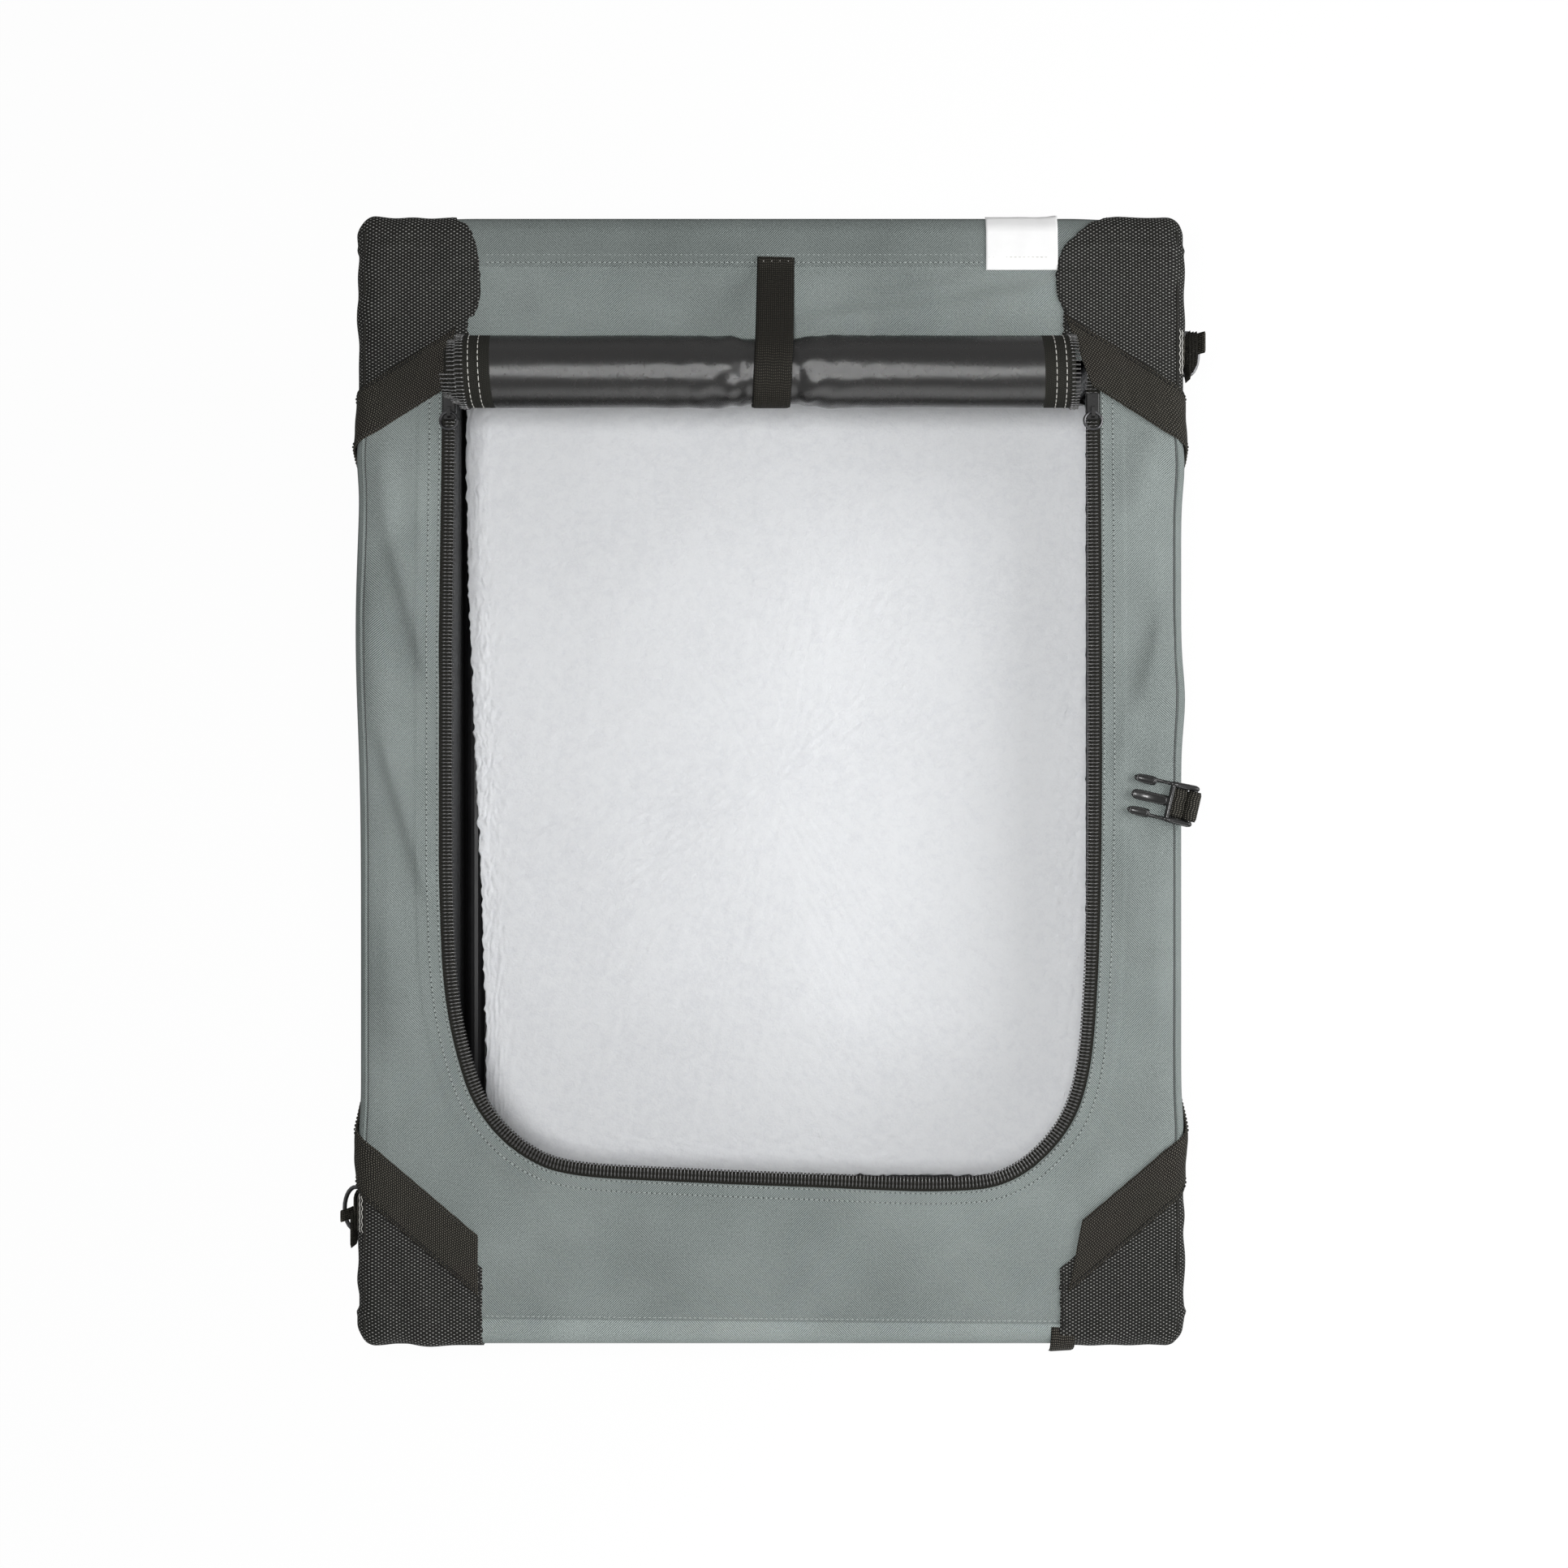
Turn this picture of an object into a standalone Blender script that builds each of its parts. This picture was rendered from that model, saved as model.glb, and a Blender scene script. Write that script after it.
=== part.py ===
"""A folding soft-sided pet carrier: a plastic tube frame with folding posts inside a fabric cover.

World axes: +X is the carrier's right side, +Y its rear end, +Z up. The origin is on the floor, under
the middle. Lengths are in metres.

The base tubes and the top tubes are two rectangles held apart by four posts. Each post has a knee in
the middle and folds inwards, towards the centre line, in a plane square to Y. The lower and upper
halves of a post lie side by side along Y, so they pass each other when the carrier is folded.
"""
import math

import bmesh
import bpy
from mathutils import Matrix, Vector

# Overall size of the cover
CRATE_WIDTH = 0.553
CRATE_LENGTH = 0.756
CRATE_HEIGHT = 0.540
TRAY_DEPTH = 0.045  # the stiff rims at the floor and at the roof, measured along Z

# Stock
TUBE_RADIUS = 0.008
TUBE_WALL = 0.0016
SOCKET_WALL = 0.0017
SKIN = 0.0012  # coated cover fabric
PATCH = 0.0010  # corner reinforcement fabric
WEBBING = 0.0013
LABEL = 0.0005
SEAT = 0.0003  # gap kept between pieces that touch

# Frame corners and post pivots
SOCKET_REACH = 0.045
TUBE_START = 0.012  # from the corner's centre to the end of each tube
LUG = 0.006
LUG_HALF_WIDTH = 0.008
PIVOT_RISE = 0.040  # post pivots above the floor, and below the roof
EYE_RADIUS = 0.010
EYE_THICKNESS = 0.0164
PIN_RADIUS = 0.004
PIN_HEAD_RADIUS = 0.0065
PIN_HEAD = 0.003

# Top opening, from the sides and ends of the cover, and the zip round it
OPENING_SIDE_BORDER = 0.055
OPENING_FRONT_BORDER = 0.1055
OPENING_REAR_BORDER = 0.096
OPENING_RADIUS = 0.112
ZIP_WIDTH = 0.0125
ZIP_THICKNESS = 0.0016

# Rolled door: its ends from the sides of the opening, its middle from the opening's rear edge
ROLL_RADIUS = 0.0255
ROLL_LEFT_GAP = 0.007
ROLL_RIGHT_GAP = 0.0155
ROLL_FORWARD = 0.0118
ROLL_PINCH = 0.0025
ROLL_STRAP_WIDTH = 0.025
ROLL_STRAP_FOOT = 0.049  # from the back of the roll to the strap's seam
ROLL_STRAP_END = math.radians(252)

# Zip sliders and their ring pulls
SLIDER_WIDTH = 0.009
SLIDER_LENGTH = 0.018
SLIDER_HEIGHT = 0.0042
SLIDER_TUCK = 0.0148  # length of the slider that lies behind the front of the roll
BRIDGE_FORWARD = 0.004
BRIDGE_WIDTH = 0.0024
BRIDGE_LENGTH = 0.008
BRIDGE_BAR = 0.001
PULL_RADIUS = 0.0058
PULL_WIRE = 0.001

# Corner patches, from the sides and ends of the cover, and the webbing across their hems
PATCH_WIDTH = 0.083
PATCH_REAR_INNER_LENGTH = 0.082
PATCH_REAR_OUTER_LENGTH = 0.134
PATCH_FRONT_INNER_LENGTH = 0.0515
PATCH_FRONT_OUTER_LENGTH = 0.122
PATCH_DROP = 0.060
HEM_WEBBING_WIDTH = 0.031
HEM_WEBBING_DROP = 0.055

# Windows and front door
WINDOW_SILL = 0.130
WINDOW_HEAD = 0.130  # below the roof
WINDOW_RADIUS = 0.040
SIDE_WINDOW_BORDER = 0.138
REAR_WINDOW_BORDER = 0.1165
MESH = 0.0008
DOOR_BORDER = 0.0085  # from a front corner patch to the doorway
DOOR_SILL = 0.085
DOOR_RADIUS = 0.060
DOOR_HINGE_DROP = 0.0009  # below the roof's rim

# Fleece mat, from the corner sockets and from below the posts, and its lap over the rails
MAT_SIDE_GAP = 0.0005
MAT_END_GAP = 0.0135
MAT_TOP_GAP = 0.001
MAT_LAP = 0.006
MAT_LAP_SIDE_GAP = 0.003
MAT_LAP_END = 0.005
MAT_RIM = 0.45  # rim height as a share of the full height
MAT_CORNER = 0.030
MAT_DRAW = 0.003
MAT_CUTS = 9

# Care label, beside the rear right corner patch
LABEL_GAP = 0.0015
LABEL_WIDTH = 0.048
LABEL_LENGTH = 0.0355
LABEL_DROP = 0.010

# Side release buckle: the plug's bar, window, frame, arms and tongue, then its socket
BUCKLE_Y = -0.017
BUCKLE_TURN = math.radians(13.0)
BUCKLE_LIFT = 0.0035
BUCKLE_THICKNESS = 0.0045
BUCKLE_TAB_WIDTH = 0.020
BUCKLE_PLAY = 0.0005
BUCKLE_SIDE_BAR = 0.0035
BAR_HALF = 0.002
BUCKLE_WINDOW = 0.0115
BUCKLE_CROSS_BAR = 0.003
ARM_LENGTH = 0.0255
ARM_WIDTH = 0.0024
ARM_INSET = 0.0008
ARM_HEAD_LENGTH = 0.014
ARM_HEAD_WIDTH = 0.0058
ARM_TIP_LENGTH = 0.006
ARM_TIP_INSET = 0.0025
TONGUE_WIDTH = 0.007
TONGUE_SHORT = 0.0035
TONGUE_TIP = 0.0025
SOCKET_SIDE = 0.0025
SOCKET_FACE = 0.002
SOCKET_BASE = 0.006
SOCKET_LOW = 0.020

# Ring tabs for a carrying strap
RING_INSET = 0.086  # from the cover's end
RING_WIRE = 0.0015
RING_HALF = 0.0145
RING_REACH = 0.0105
RING_DROP = 0.034
RING_TAB_WIDTH = 0.025
RING_TAB_TOP = 0.012

# Fineness of round shapes
ROUND_STEPS = 5
TUBE_SIDES = 16
EYE_SIDES = 16
ARC_STEPS = 10

# Places and sizes that follow
HALF_WIDTH = CRATE_WIDTH / 2
HALF_LENGTH = CRATE_LENGTH / 2
SOCKET_RADIUS = TUBE_RADIUS + SEAT + SOCKET_WALL
EDGE_RADIUS = SOCKET_RADIUS + SEAT + SKIN
FRAME_X = HALF_WIDTH - EDGE_RADIUS
FRAME_Y = HALF_LENGTH - EDGE_RADIUS
BASE_Z = EDGE_RADIUS
TOP_Z = CRATE_HEIGHT - EDGE_RADIUS
LOWER_PIVOT_Z = PIVOT_RISE
UPPER_PIVOT_Z = CRATE_HEIGHT - PIVOT_RISE
KNEE_Z = CRATE_HEIGHT / 2
LOWER_LUG_INSET = SOCKET_RADIUS + SEAT
LOWER_POST_INSET = LOWER_LUG_INSET + LUG + SEAT + EYE_THICKNESS / 2
UPPER_POST_INSET = LOWER_POST_INSET + EYE_THICKNESS + SEAT
UPPER_LUG_INSET = UPPER_POST_INSET - EYE_THICKNESS / 2 - SEAT - LUG
OPENING_HALF_WIDTH = HALF_WIDTH - OPENING_SIDE_BORDER
OPENING_FRONT = OPENING_FRONT_BORDER - HALF_LENGTH
OPENING_REAR = HALF_LENGTH - OPENING_REAR_BORDER
ZIP_TOP = CRATE_HEIGHT + SEAT
PATCH_OUTSET = SEAT + PATCH
PATCH_INNER_X = HALF_WIDTH - PATCH_WIDTH
HEM_OUTSET = PATCH_OUTSET + SEAT
ROLL_CENTRE_X = (ROLL_LEFT_GAP - ROLL_RIGHT_GAP) / 2
ROLL_CENTRE_Y = OPENING_REAR - ROLL_FORWARD
ROLL_Z = CRATE_HEIGHT + HEM_OUTSET + WEBBING + SEAT + ROLL_RADIUS
ROLL_HALF_LENGTH = OPENING_HALF_WIDTH - (ROLL_LEFT_GAP + ROLL_RIGHT_GAP) / 2
SLIDER_Y = ROLL_CENTRE_Y - ROLL_RADIUS + SLIDER_TUCK - SLIDER_LENGTH / 2
PULL_Y = SLIDER_Y - BRIDGE_FORWARD
WINDOW_TOP = CRATE_HEIGHT - WINDOW_HEAD
SIDE_WINDOW_HALF = HALF_LENGTH - SIDE_WINDOW_BORDER
REAR_WINDOW_HALF = HALF_WIDTH - REAR_WINDOW_BORDER
DOOR_HALF = PATCH_INNER_X - DOOR_BORDER
DOOR_TOP = CRATE_HEIGHT - TRAY_DEPTH - DOOR_HINGE_DROP
BUCKLE_WINDOW_HALF = BUCKLE_TAB_WIDTH / 2 + BUCKLE_PLAY
BUCKLE_HALF = BUCKLE_WINDOW_HALF + BUCKLE_SIDE_BAR
BUCKLE_WINDOW_END = BAR_HALF + BUCKLE_WINDOW
BUCKLE_FRAME_END = BUCKLE_WINDOW_END + BUCKLE_CROSS_BAR
ARM_TIP_HALF = BUCKLE_HALF - ARM_TIP_INSET

GREY_FABRIC = ("grey_fabric", (0.215, 0.245, 0.240), 0.85, 0.0)
BLACK_COATED = ("black_coated_fabric", (0.020, 0.020, 0.020), 0.35, 0.0)
BLACK_PATCH = ("black_patch_fabric", (0.030, 0.030, 0.028), 0.80, 0.0)
BLACK_WEBBING = ("black_webbing", (0.024, 0.023, 0.020), 0.85, 0.0)
BLACK_MESH = ("black_mesh", (0.018, 0.018, 0.018), 0.70, 0.0)
WHITE_FLEECE = ("white_fleece", (0.830, 0.850, 0.880), 0.95, 0.0)
WHITE_LABEL = ("white_label", (0.800, 0.800, 0.800), 0.60, 0.0)
BLACK_TUBE = ("black_tube", (0.015, 0.015, 0.016), 0.40, 0.0)
BLACK_PLASTIC = ("black_plastic", (0.022, 0.022, 0.021), 0.45, 0.0)
BLACK_STEEL = ("black_steel", (0.020, 0.020, 0.020), 0.30, 0.9)
BLACK_ZIP = ("black_zip", (0.020, 0.019, 0.017), 0.60, 0.0)

ENDS = {"rear": 1, "front": -1}
SIDES = {"right": 1, "left": -1}

# First words of the pieces that the top frame carries
TOP_PIECES = ("top_", "roof_", "roll_strap", "zip_", "care_label", "corner_patch", "hem_webbing",
              "front_door", "ring_tab", "strap_ring", "buckle_plug", "buckle_tab")


def clear_scene():
    """Remove everything that a new file holds."""
    for obj in list(bpy.data.objects):
        bpy.data.objects.remove(obj, do_unlink=True)


def new_collection(name):
    """A collection linked to the scene."""
    group = bpy.data.collections.new(name)
    bpy.context.scene.collection.children.link(group)
    return group


def finish_material(finish):
    """The Principled material of a finish, made once."""
    name, colour, roughness, metallic = finish
    found = bpy.data.materials.get(name)
    if found:
        return found
    made = bpy.data.materials.new(name)
    made.use_nodes = True
    shader = made.node_tree.nodes["Principled BSDF"]
    shader.inputs["Base Color"].default_value = (*colour, 1.0)
    shader.inputs["Roughness"].default_value = roughness
    shader.inputs["Metallic"].default_value = metallic
    return made


def place(data, name, group, finish=None, location=(0.0, 0.0, 0.0)):
    """Put a mesh or a curve into the scene as an object in one collection."""
    obj = bpy.data.objects.new(name, data)
    obj.location = location
    group.objects.link(obj)
    if finish:
        data.materials.clear()
        data.materials.append(finish_material(finish))
    return obj


def mesh_from(bm, name, smooth=True):
    """Turn a bmesh into a mesh, shaded smooth up to 35 degrees."""
    mesh = bpy.data.meshes.new(name)
    bm.to_mesh(mesh)
    bm.free()
    if smooth:
        mesh.shade_smooth()
        mesh.set_sharp_from_angle(angle=math.radians(35))
    return mesh


def axis_turn(axis):
    """The rotation that carries +Z onto X, Y or Z."""
    return {
        "X": Matrix.Rotation(math.radians(90), 4, "Y"),
        "Y": Matrix.Rotation(math.radians(-90), 4, "X"),
        "Z": Matrix.Identity(4),
    }[axis]


def cylinder(radius, start, end, axis, centre=(0.0, 0.0, 0.0), sides=TUBE_SIDES):
    """A solid cylinder along an axis, from start to end as measured from the centre."""
    bm = bmesh.new()
    bmesh.ops.create_cone(bm, cap_ends=True, segments=sides, radius1=radius, radius2=radius,
                          depth=abs(end - start))
    middle = Matrix.Translation((0.0, 0.0, (start + end) / 2))
    bmesh.ops.transform(bm, matrix=Matrix.Translation(centre) @ axis_turn(axis) @ middle, verts=bm.verts)
    return mesh_from(bm, "cylinder")


def ball(radius):
    """A solid sphere."""
    bm = bmesh.new()
    bmesh.ops.create_uvsphere(bm, u_segments=TUBE_SIDES, v_segments=TUBE_SIDES // 2, radius=radius)
    return mesh_from(bm, "ball")


def block(low, high, bevel=0.0):
    """A box between two corners, with its edges rounded if asked."""
    bm = bmesh.new()
    bmesh.ops.create_cube(bm, size=1.0)
    size = Vector(high) - Vector(low)
    bmesh.ops.scale(bm, vec=size, verts=bm.verts)
    bmesh.ops.translate(bm, vec=(Vector(low) + Vector(high)) / 2, verts=bm.verts)
    if bevel:
        bmesh.ops.bevel(bm, geom=bm.edges[:], offset=bevel, segments=2, profile=0.5, affect="EDGES")
    return mesh_from(bm, "block")


def fuse(name, group, cutters, finish, location, solids, cuts=()):
    """One object of solids joined together, with the cuts taken away, all drawn about its location."""
    obj = place(solids[0], name, group, finish, location)
    steps = [(solid, "UNION") for solid in solids[1:]] + [(cut, "DIFFERENCE") for cut in cuts]
    for number, (mesh, operation) in enumerate(steps):
        tool = place(mesh, f"{name}_{operation.lower()}_{number}", cutters, None, location)
        tool.hide_render = True
        tool.display_type = "WIRE"
        step = obj.modifiers.new(f"{operation.title()} {number}", "BOOLEAN")
        step.operation = operation
        step.solver = "EXACT"
        step.object = tool
    return obj


def outline_mesh(points, thickness, holes=()):
    """A flat outline in XY made solid, its thickness centred on Z zero."""
    curve = bpy.data.curves.new("outline", "CURVE")
    curve.dimensions = "2D"
    curve.fill_mode = "BOTH"
    curve.extrude = thickness / 2
    for loop in (points, *holes):
        spline = curve.splines.new("POLY")
        spline.points.add(len(loop) - 1)
        for target, (x, y) in zip(spline.points, loop):
            target.co = (x, y, 0.0, 1.0)
        spline.use_cyclic_u = True
    guide = bpy.data.objects.new("outline", curve)
    bpy.context.scene.collection.objects.link(guide)
    graph = bpy.context.evaluated_depsgraph_get()
    mesh = bpy.data.meshes.new_from_object(guide.evaluated_get(graph))
    bpy.data.objects.remove(guide, do_unlink=True)
    bm = bmesh.new()
    bm.from_mesh(mesh)
    bmesh.ops.remove_doubles(bm, verts=bm.verts, dist=0.00001)
    bmesh.ops.recalc_face_normals(bm, faces=bm.faces)
    return mesh_from(bm, "outline")


def turned(mesh, matrix):
    """The same mesh moved by a matrix."""
    mesh.transform(matrix)
    return mesh


def arc(centre, radius, start, end, steps=ARC_STEPS):
    """Points along an arc, its angles in radians."""
    angles = [start + (end - start) * i / steps for i in range(steps + 1)]
    return [(centre[0] + radius * math.cos(a), centre[1] + radius * math.sin(a)) for a in angles]


def rounded_rectangle(half_x, low_y, high_y, radius):
    """The outline of a rectangle with four round corners."""
    right, left = math.radians(0), math.radians(180)
    down, up = math.radians(-90), math.radians(90)
    x = half_x - radius
    return (arc((x, low_y + radius), radius, down, right)
            + arc((x, high_y - radius), radius, right, up)
            + arc((-x, high_y - radius), radius, up, left)
            + arc((-x, low_y + radius), radius, left, left + math.radians(90)))


def u_path(half_x, front, rear, radius):
    """An open U from its rear left end, round the front, to its rear right end."""
    x = half_x - radius
    return ([(-half_x, rear)]
            + arc((-x, front + radius), radius, math.radians(180), math.radians(270))
            + arc((x, front + radius), radius, math.radians(-90), math.radians(0))
            + [(half_x, rear)])


def rounded_surface(outset):
    """The cover's outer surface pushed out by outset: a box with round edges and corners."""
    bm = bmesh.new()
    bmesh.ops.create_cube(bm, size=1.0)
    size = (CRATE_WIDTH + 2 * outset, CRATE_LENGTH + 2 * outset, CRATE_HEIGHT + 2 * outset)
    bmesh.ops.scale(bm, vec=size, verts=bm.verts)
    bmesh.ops.translate(bm, vec=(0.0, 0.0, CRATE_HEIGHT / 2), verts=bm.verts)
    bmesh.ops.bevel(bm, geom=bm.edges[:], offset=EDGE_RADIUS + outset, segments=ROUND_STEPS,
                    profile=0.5, affect="EDGES")
    return bm


def cover_piece(name, group, finish, planes, outset=0.0, thickness=SKIN):
    """The part of the cover's surface behind every plane, made as thick as its fabric."""
    bm = rounded_surface(outset)
    for point, normal in planes:
        geometry = bm.verts[:] + bm.edges[:] + bm.faces[:]
        bmesh.ops.bisect_plane(bm, geom=geometry, dist=0.000001, plane_co=point, plane_no=normal,
                               clear_outer=True)
    obj = place(mesh_from(bm, name), name, group, finish)
    thicken(obj, thickness, -1.0)
    return obj


def thicken(obj, thickness, offset):
    """Give an open surface its thickness, on its inner side at an offset of -1."""
    shell = obj.modifiers.new("Thickness", "SOLIDIFY")
    shell.thickness = thickness
    shell.offset = offset
    shell.use_even_offset = True


def cut_with(obj, mesh, cutters):
    """Cut an opening through an object."""
    tool = place(mesh, f"{obj.name}_opening", cutters)
    tool.hide_render = True
    tool.display_type = "WIRE"
    step = obj.modifiers.new("Opening", "BOOLEAN")
    step.operation = "DIFFERENCE"
    step.solver = "EXACT"
    step.object = tool


def upright(axis):
    """Stand an outline drawn in XY upright: its Y becomes Z, and it faces along X or Y."""
    stand = Matrix.Rotation(math.radians(90), 4, "X")
    if axis == "X":
        return Matrix.Rotation(math.radians(90), 4, "Z") @ stand
    return stand


def build_rails(group):
    """The eight straight tubes of the base rectangle and the top rectangle."""
    for level, z in (("base", BASE_Z), ("top", TOP_Z)):
        for end, sign in ENDS.items():
            rail(f"{level}_rail_{end}", group, "X", FRAME_X - TUBE_START, (0.0, sign * FRAME_Y, z))
        for side, sign in SIDES.items():
            rail(f"{level}_rail_{side}", group, "Y", FRAME_Y - TUBE_START, (sign * FRAME_X, 0.0, z))


def rail(name, group, axis, half_length, centre):
    """One hollow tube, open at both ends."""
    bm = bmesh.new()
    bmesh.ops.create_cone(bm, cap_ends=False, segments=TUBE_SIDES, radius1=TUBE_RADIUS,
                          radius2=TUBE_RADIUS, depth=2 * half_length)
    bmesh.ops.transform(bm, matrix=axis_turn(axis), verts=bm.verts)
    obj = place(mesh_from(bm, name), name, group, BLACK_TUBE, centre)
    thicken(obj, TUBE_WALL, -1.0)


def build_corners(group, cutters):
    """The moulded corner pieces: two tube sockets and the lug and pin that carry a post."""
    for end, end_sign in ENDS.items():
        for side, side_sign in SIDES.items():
            corner(f"base_corner_{end}_{side}", group, cutters, side_sign, end_sign, BASE_Z,
                   LOWER_PIVOT_Z, LOWER_LUG_INSET)
            corner(f"top_corner_{end}_{side}", group, cutters, side_sign, end_sign, TOP_Z,
                   UPPER_PIVOT_Z, UPPER_LUG_INSET)


def corner(name, group, cutters, side, end, z, pivot_z, lug_inset):
    """One corner piece, drawn about its centre. Both sockets point to the middle of the carrier."""
    pivot = Vector((0.0, -end * (lug_inset + LUG / 2), pivot_z - z))
    lug = turned(outline_mesh(stadium(LUG_HALF_WIDTH, z - pivot_z), LUG),
                 Matrix.Translation(pivot) @ upright("Y"))
    inwards = Matrix.Translation(pivot) @ facing(end)
    bore = TUBE_RADIUS + SEAT
    floor = TUBE_START - SEAT
    past = SOCKET_REACH + TUBE_WALL
    solids = [
        cylinder(SOCKET_RADIUS, 0.0, -side * SOCKET_REACH, "X"),
        cylinder(SOCKET_RADIUS, 0.0, -end * SOCKET_REACH, "Y"),
        ball(SOCKET_RADIUS - 2 * SEAT),
        lug,
    ]
    solids += [turned(piece, inwards) for piece in pin(LUG / 2 + SEAT + EYE_THICKNESS + SEAT)]
    cuts = [
        cylinder(bore, -side * floor, -side * past, "X"),
        cylinder(bore, -end * floor, -end * past, "Y"),
    ]
    centre = (side * FRAME_X, end * FRAME_Y, z)
    return fuse(name, group, cutters, BLACK_PLASTIC, centre, solids, cuts)


def pin(reach):
    """A pin along +Y and its wider head, which starts at the reach."""
    return [
        cylinder(PIN_RADIUS, 0.0, reach + PIN_HEAD / 2, "Y", sides=EYE_SIDES),
        cylinder(PIN_HEAD_RADIUS, reach, reach + PIN_HEAD, "Y", sides=EYE_SIDES),
    ]


def facing(end):
    """Point +Y to the middle of the carrier: a half turn about Z at the rear end, none in front."""
    return Matrix.Diagonal((-end, -end, 1.0, 1.0))


def stadium(half_width, foot):
    """A strip from height foot to zero, with a round end about zero."""
    if foot < 0:
        return [(-half_width, foot), (half_width, foot)] + arc((0, 0), half_width, 0.0, math.pi)
    return [(half_width, foot), (-half_width, foot)] + arc((0, 0), half_width, math.pi, 2 * math.pi)


def build_posts(group, cutters):
    """The four folding posts, each a lower and an upper half that meet at a knee pin."""
    for end, end_sign in ENDS.items():
        for side, side_sign in SIDES.items():
            x = side_sign * FRAME_X
            foot = (x, end_sign * (FRAME_Y - LOWER_POST_INSET), LOWER_PIVOT_Z)
            knee = (x, end_sign * (FRAME_Y - UPPER_POST_INSET), KNEE_Z)
            lower_post(f"lower_post_{end}_{side}", group, cutters, foot, end_sign)
            upper_post(f"upper_post_{end}_{side}", group, cutters, knee)


def post_solids(length):
    """A rod up from the origin with a flat-sided eye at each end, and the pin holes of both."""
    half = EYE_THICKNESS / 2
    hole = PIN_RADIUS + SEAT
    past = half + TUBE_WALL
    top = (0.0, 0.0, length)
    solids = [
        cylinder(TUBE_RADIUS, 0.0, length, "Z"),
        cylinder(EYE_RADIUS, -half, half, "Y", sides=EYE_SIDES),
        cylinder(EYE_RADIUS, -half, half, "Y", top, EYE_SIDES),
    ]
    holes = [cylinder(hole, -past, past, "Y", centre, EYE_SIDES) for centre in ((0.0, 0.0, 0.0), top)]
    return solids, holes


def lower_post(name, group, cutters, foot, end):
    """The lower half: a pin hole at the foot and the knee pin at its top."""
    length = KNEE_Z - LOWER_PIVOT_Z
    solids, holes = post_solids(length)
    to_knee = Matrix.Translation((0.0, 0.0, length)) @ facing(end)
    knee_pin = pin(EYE_THICKNESS / 2 + SEAT + EYE_THICKNESS + SEAT)
    solids += [turned(piece, to_knee) for piece in knee_pin]
    return fuse(name, group, cutters, BLACK_TUBE, foot, solids, holes[:1])


def upper_post(name, group, cutters, knee):
    """The upper half: a pin hole at both ends."""
    solids, holes = post_solids(UPPER_PIVOT_Z - KNEE_Z)
    return fuse(name, group, cutters, BLACK_TUBE, knee, solids, holes)


def build_cover(group, cutters):
    """The fabric cover: floor, roof with its opening, and four walls with their openings."""
    low, high = TRAY_DEPTH, CRATE_HEIGHT - TRAY_DEPTH
    cover_piece("floor_panel", group, GREY_FABRIC, [((0, 0, low), (0, 0, 1))])
    roof = cover_piece("roof_panel", group, GREY_FABRIC, [((0, 0, high), (0, 0, -1))])
    opening = u_path(OPENING_HALF_WIDTH, OPENING_FRONT, OPENING_REAR, OPENING_RADIUS)
    cut_with(roof, turned(outline_mesh(opening, TRAY_DEPTH), Matrix.Translation((0, 0, CRATE_HEIGHT))),
             cutters)
    between = [((0, 0, low + SEAT), (0, 0, -1)), ((0, 0, high - SEAT), (0, 0, 1))]
    for end, sign in ENDS.items():
        seam = ((0, sign * (FRAME_Y + SEAT / 2), 0), (0, -sign, 0))
        wall = cover_piece(f"{end}_wall", group, GREY_FABRIC, between + [seam])
        hole = end_wall_opening(end)
        stand = Matrix.Translation((0, sign * HALF_LENGTH, 0)) @ upright("Y")
        cut_with(wall, turned(outline_mesh(hole, TRAY_DEPTH), stand), cutters)
    for side, sign in SIDES.items():
        seams = [((0, s * (FRAME_Y - SEAT / 2), 0), (0, s, 0)) for s in (1, -1)]
        face = ((sign * (HALF_WIDTH - SKIN), 0, 0), (-sign, 0, 0))
        wall = cover_piece(f"side_wall_{side}", group, GREY_FABRIC, between + seams + [face])
        hole = rounded_rectangle(SIDE_WINDOW_HALF, WINDOW_SILL, WINDOW_TOP, WINDOW_RADIUS)
        stand = Matrix.Translation((sign * HALF_WIDTH, 0, 0)) @ upright("X")
        cut_with(wall, turned(outline_mesh(hole, TRAY_DEPTH), stand), cutters)


def end_wall_opening(end):
    """The rear wall's window, or the front wall's doorway, which is open at the top."""
    if end == "rear":
        return rounded_rectangle(REAR_WINDOW_HALF, WINDOW_SILL, WINDOW_TOP, WINDOW_RADIUS)
    return u_path(DOOR_HALF, DOOR_SILL, CRATE_HEIGHT, DOOR_RADIUS)


def build_windows(group):
    """The mesh in the three windows, and the front door's panel, which hangs from its top edge."""
    low, high = WINDOW_SILL + SEAT, WINDOW_TOP - SEAT
    radius = WINDOW_RADIUS - SEAT
    for side, sign in SIDES.items():
        outline = rounded_rectangle(SIDE_WINDOW_HALF - SEAT, low, high, radius)
        stand = Matrix.Translation((sign * (HALF_WIDTH - SKIN / 2), 0, 0)) @ upright("X")
        place(turned(outline_mesh(outline, MESH), stand), f"side_window_{side}", group, BLACK_MESH)
    outline = rounded_rectangle(REAR_WINDOW_HALF - SEAT, low, high, radius)
    stand = Matrix.Translation((0, HALF_LENGTH - SKIN / 2, 0)) @ upright("Y")
    place(turned(outline_mesh(outline, MESH), stand), "rear_window", group, BLACK_MESH)
    outline = u_path(DOOR_HALF - SEAT, DOOR_SILL + SEAT - DOOR_TOP, 0.0, DOOR_RADIUS - SEAT)
    hinge = (0.0, SKIN / 2 - HALF_LENGTH, DOOR_TOP)
    place(turned(outline_mesh(outline, SKIN), upright("Y")), "front_door", group, BLACK_MESH, hinge)


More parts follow.
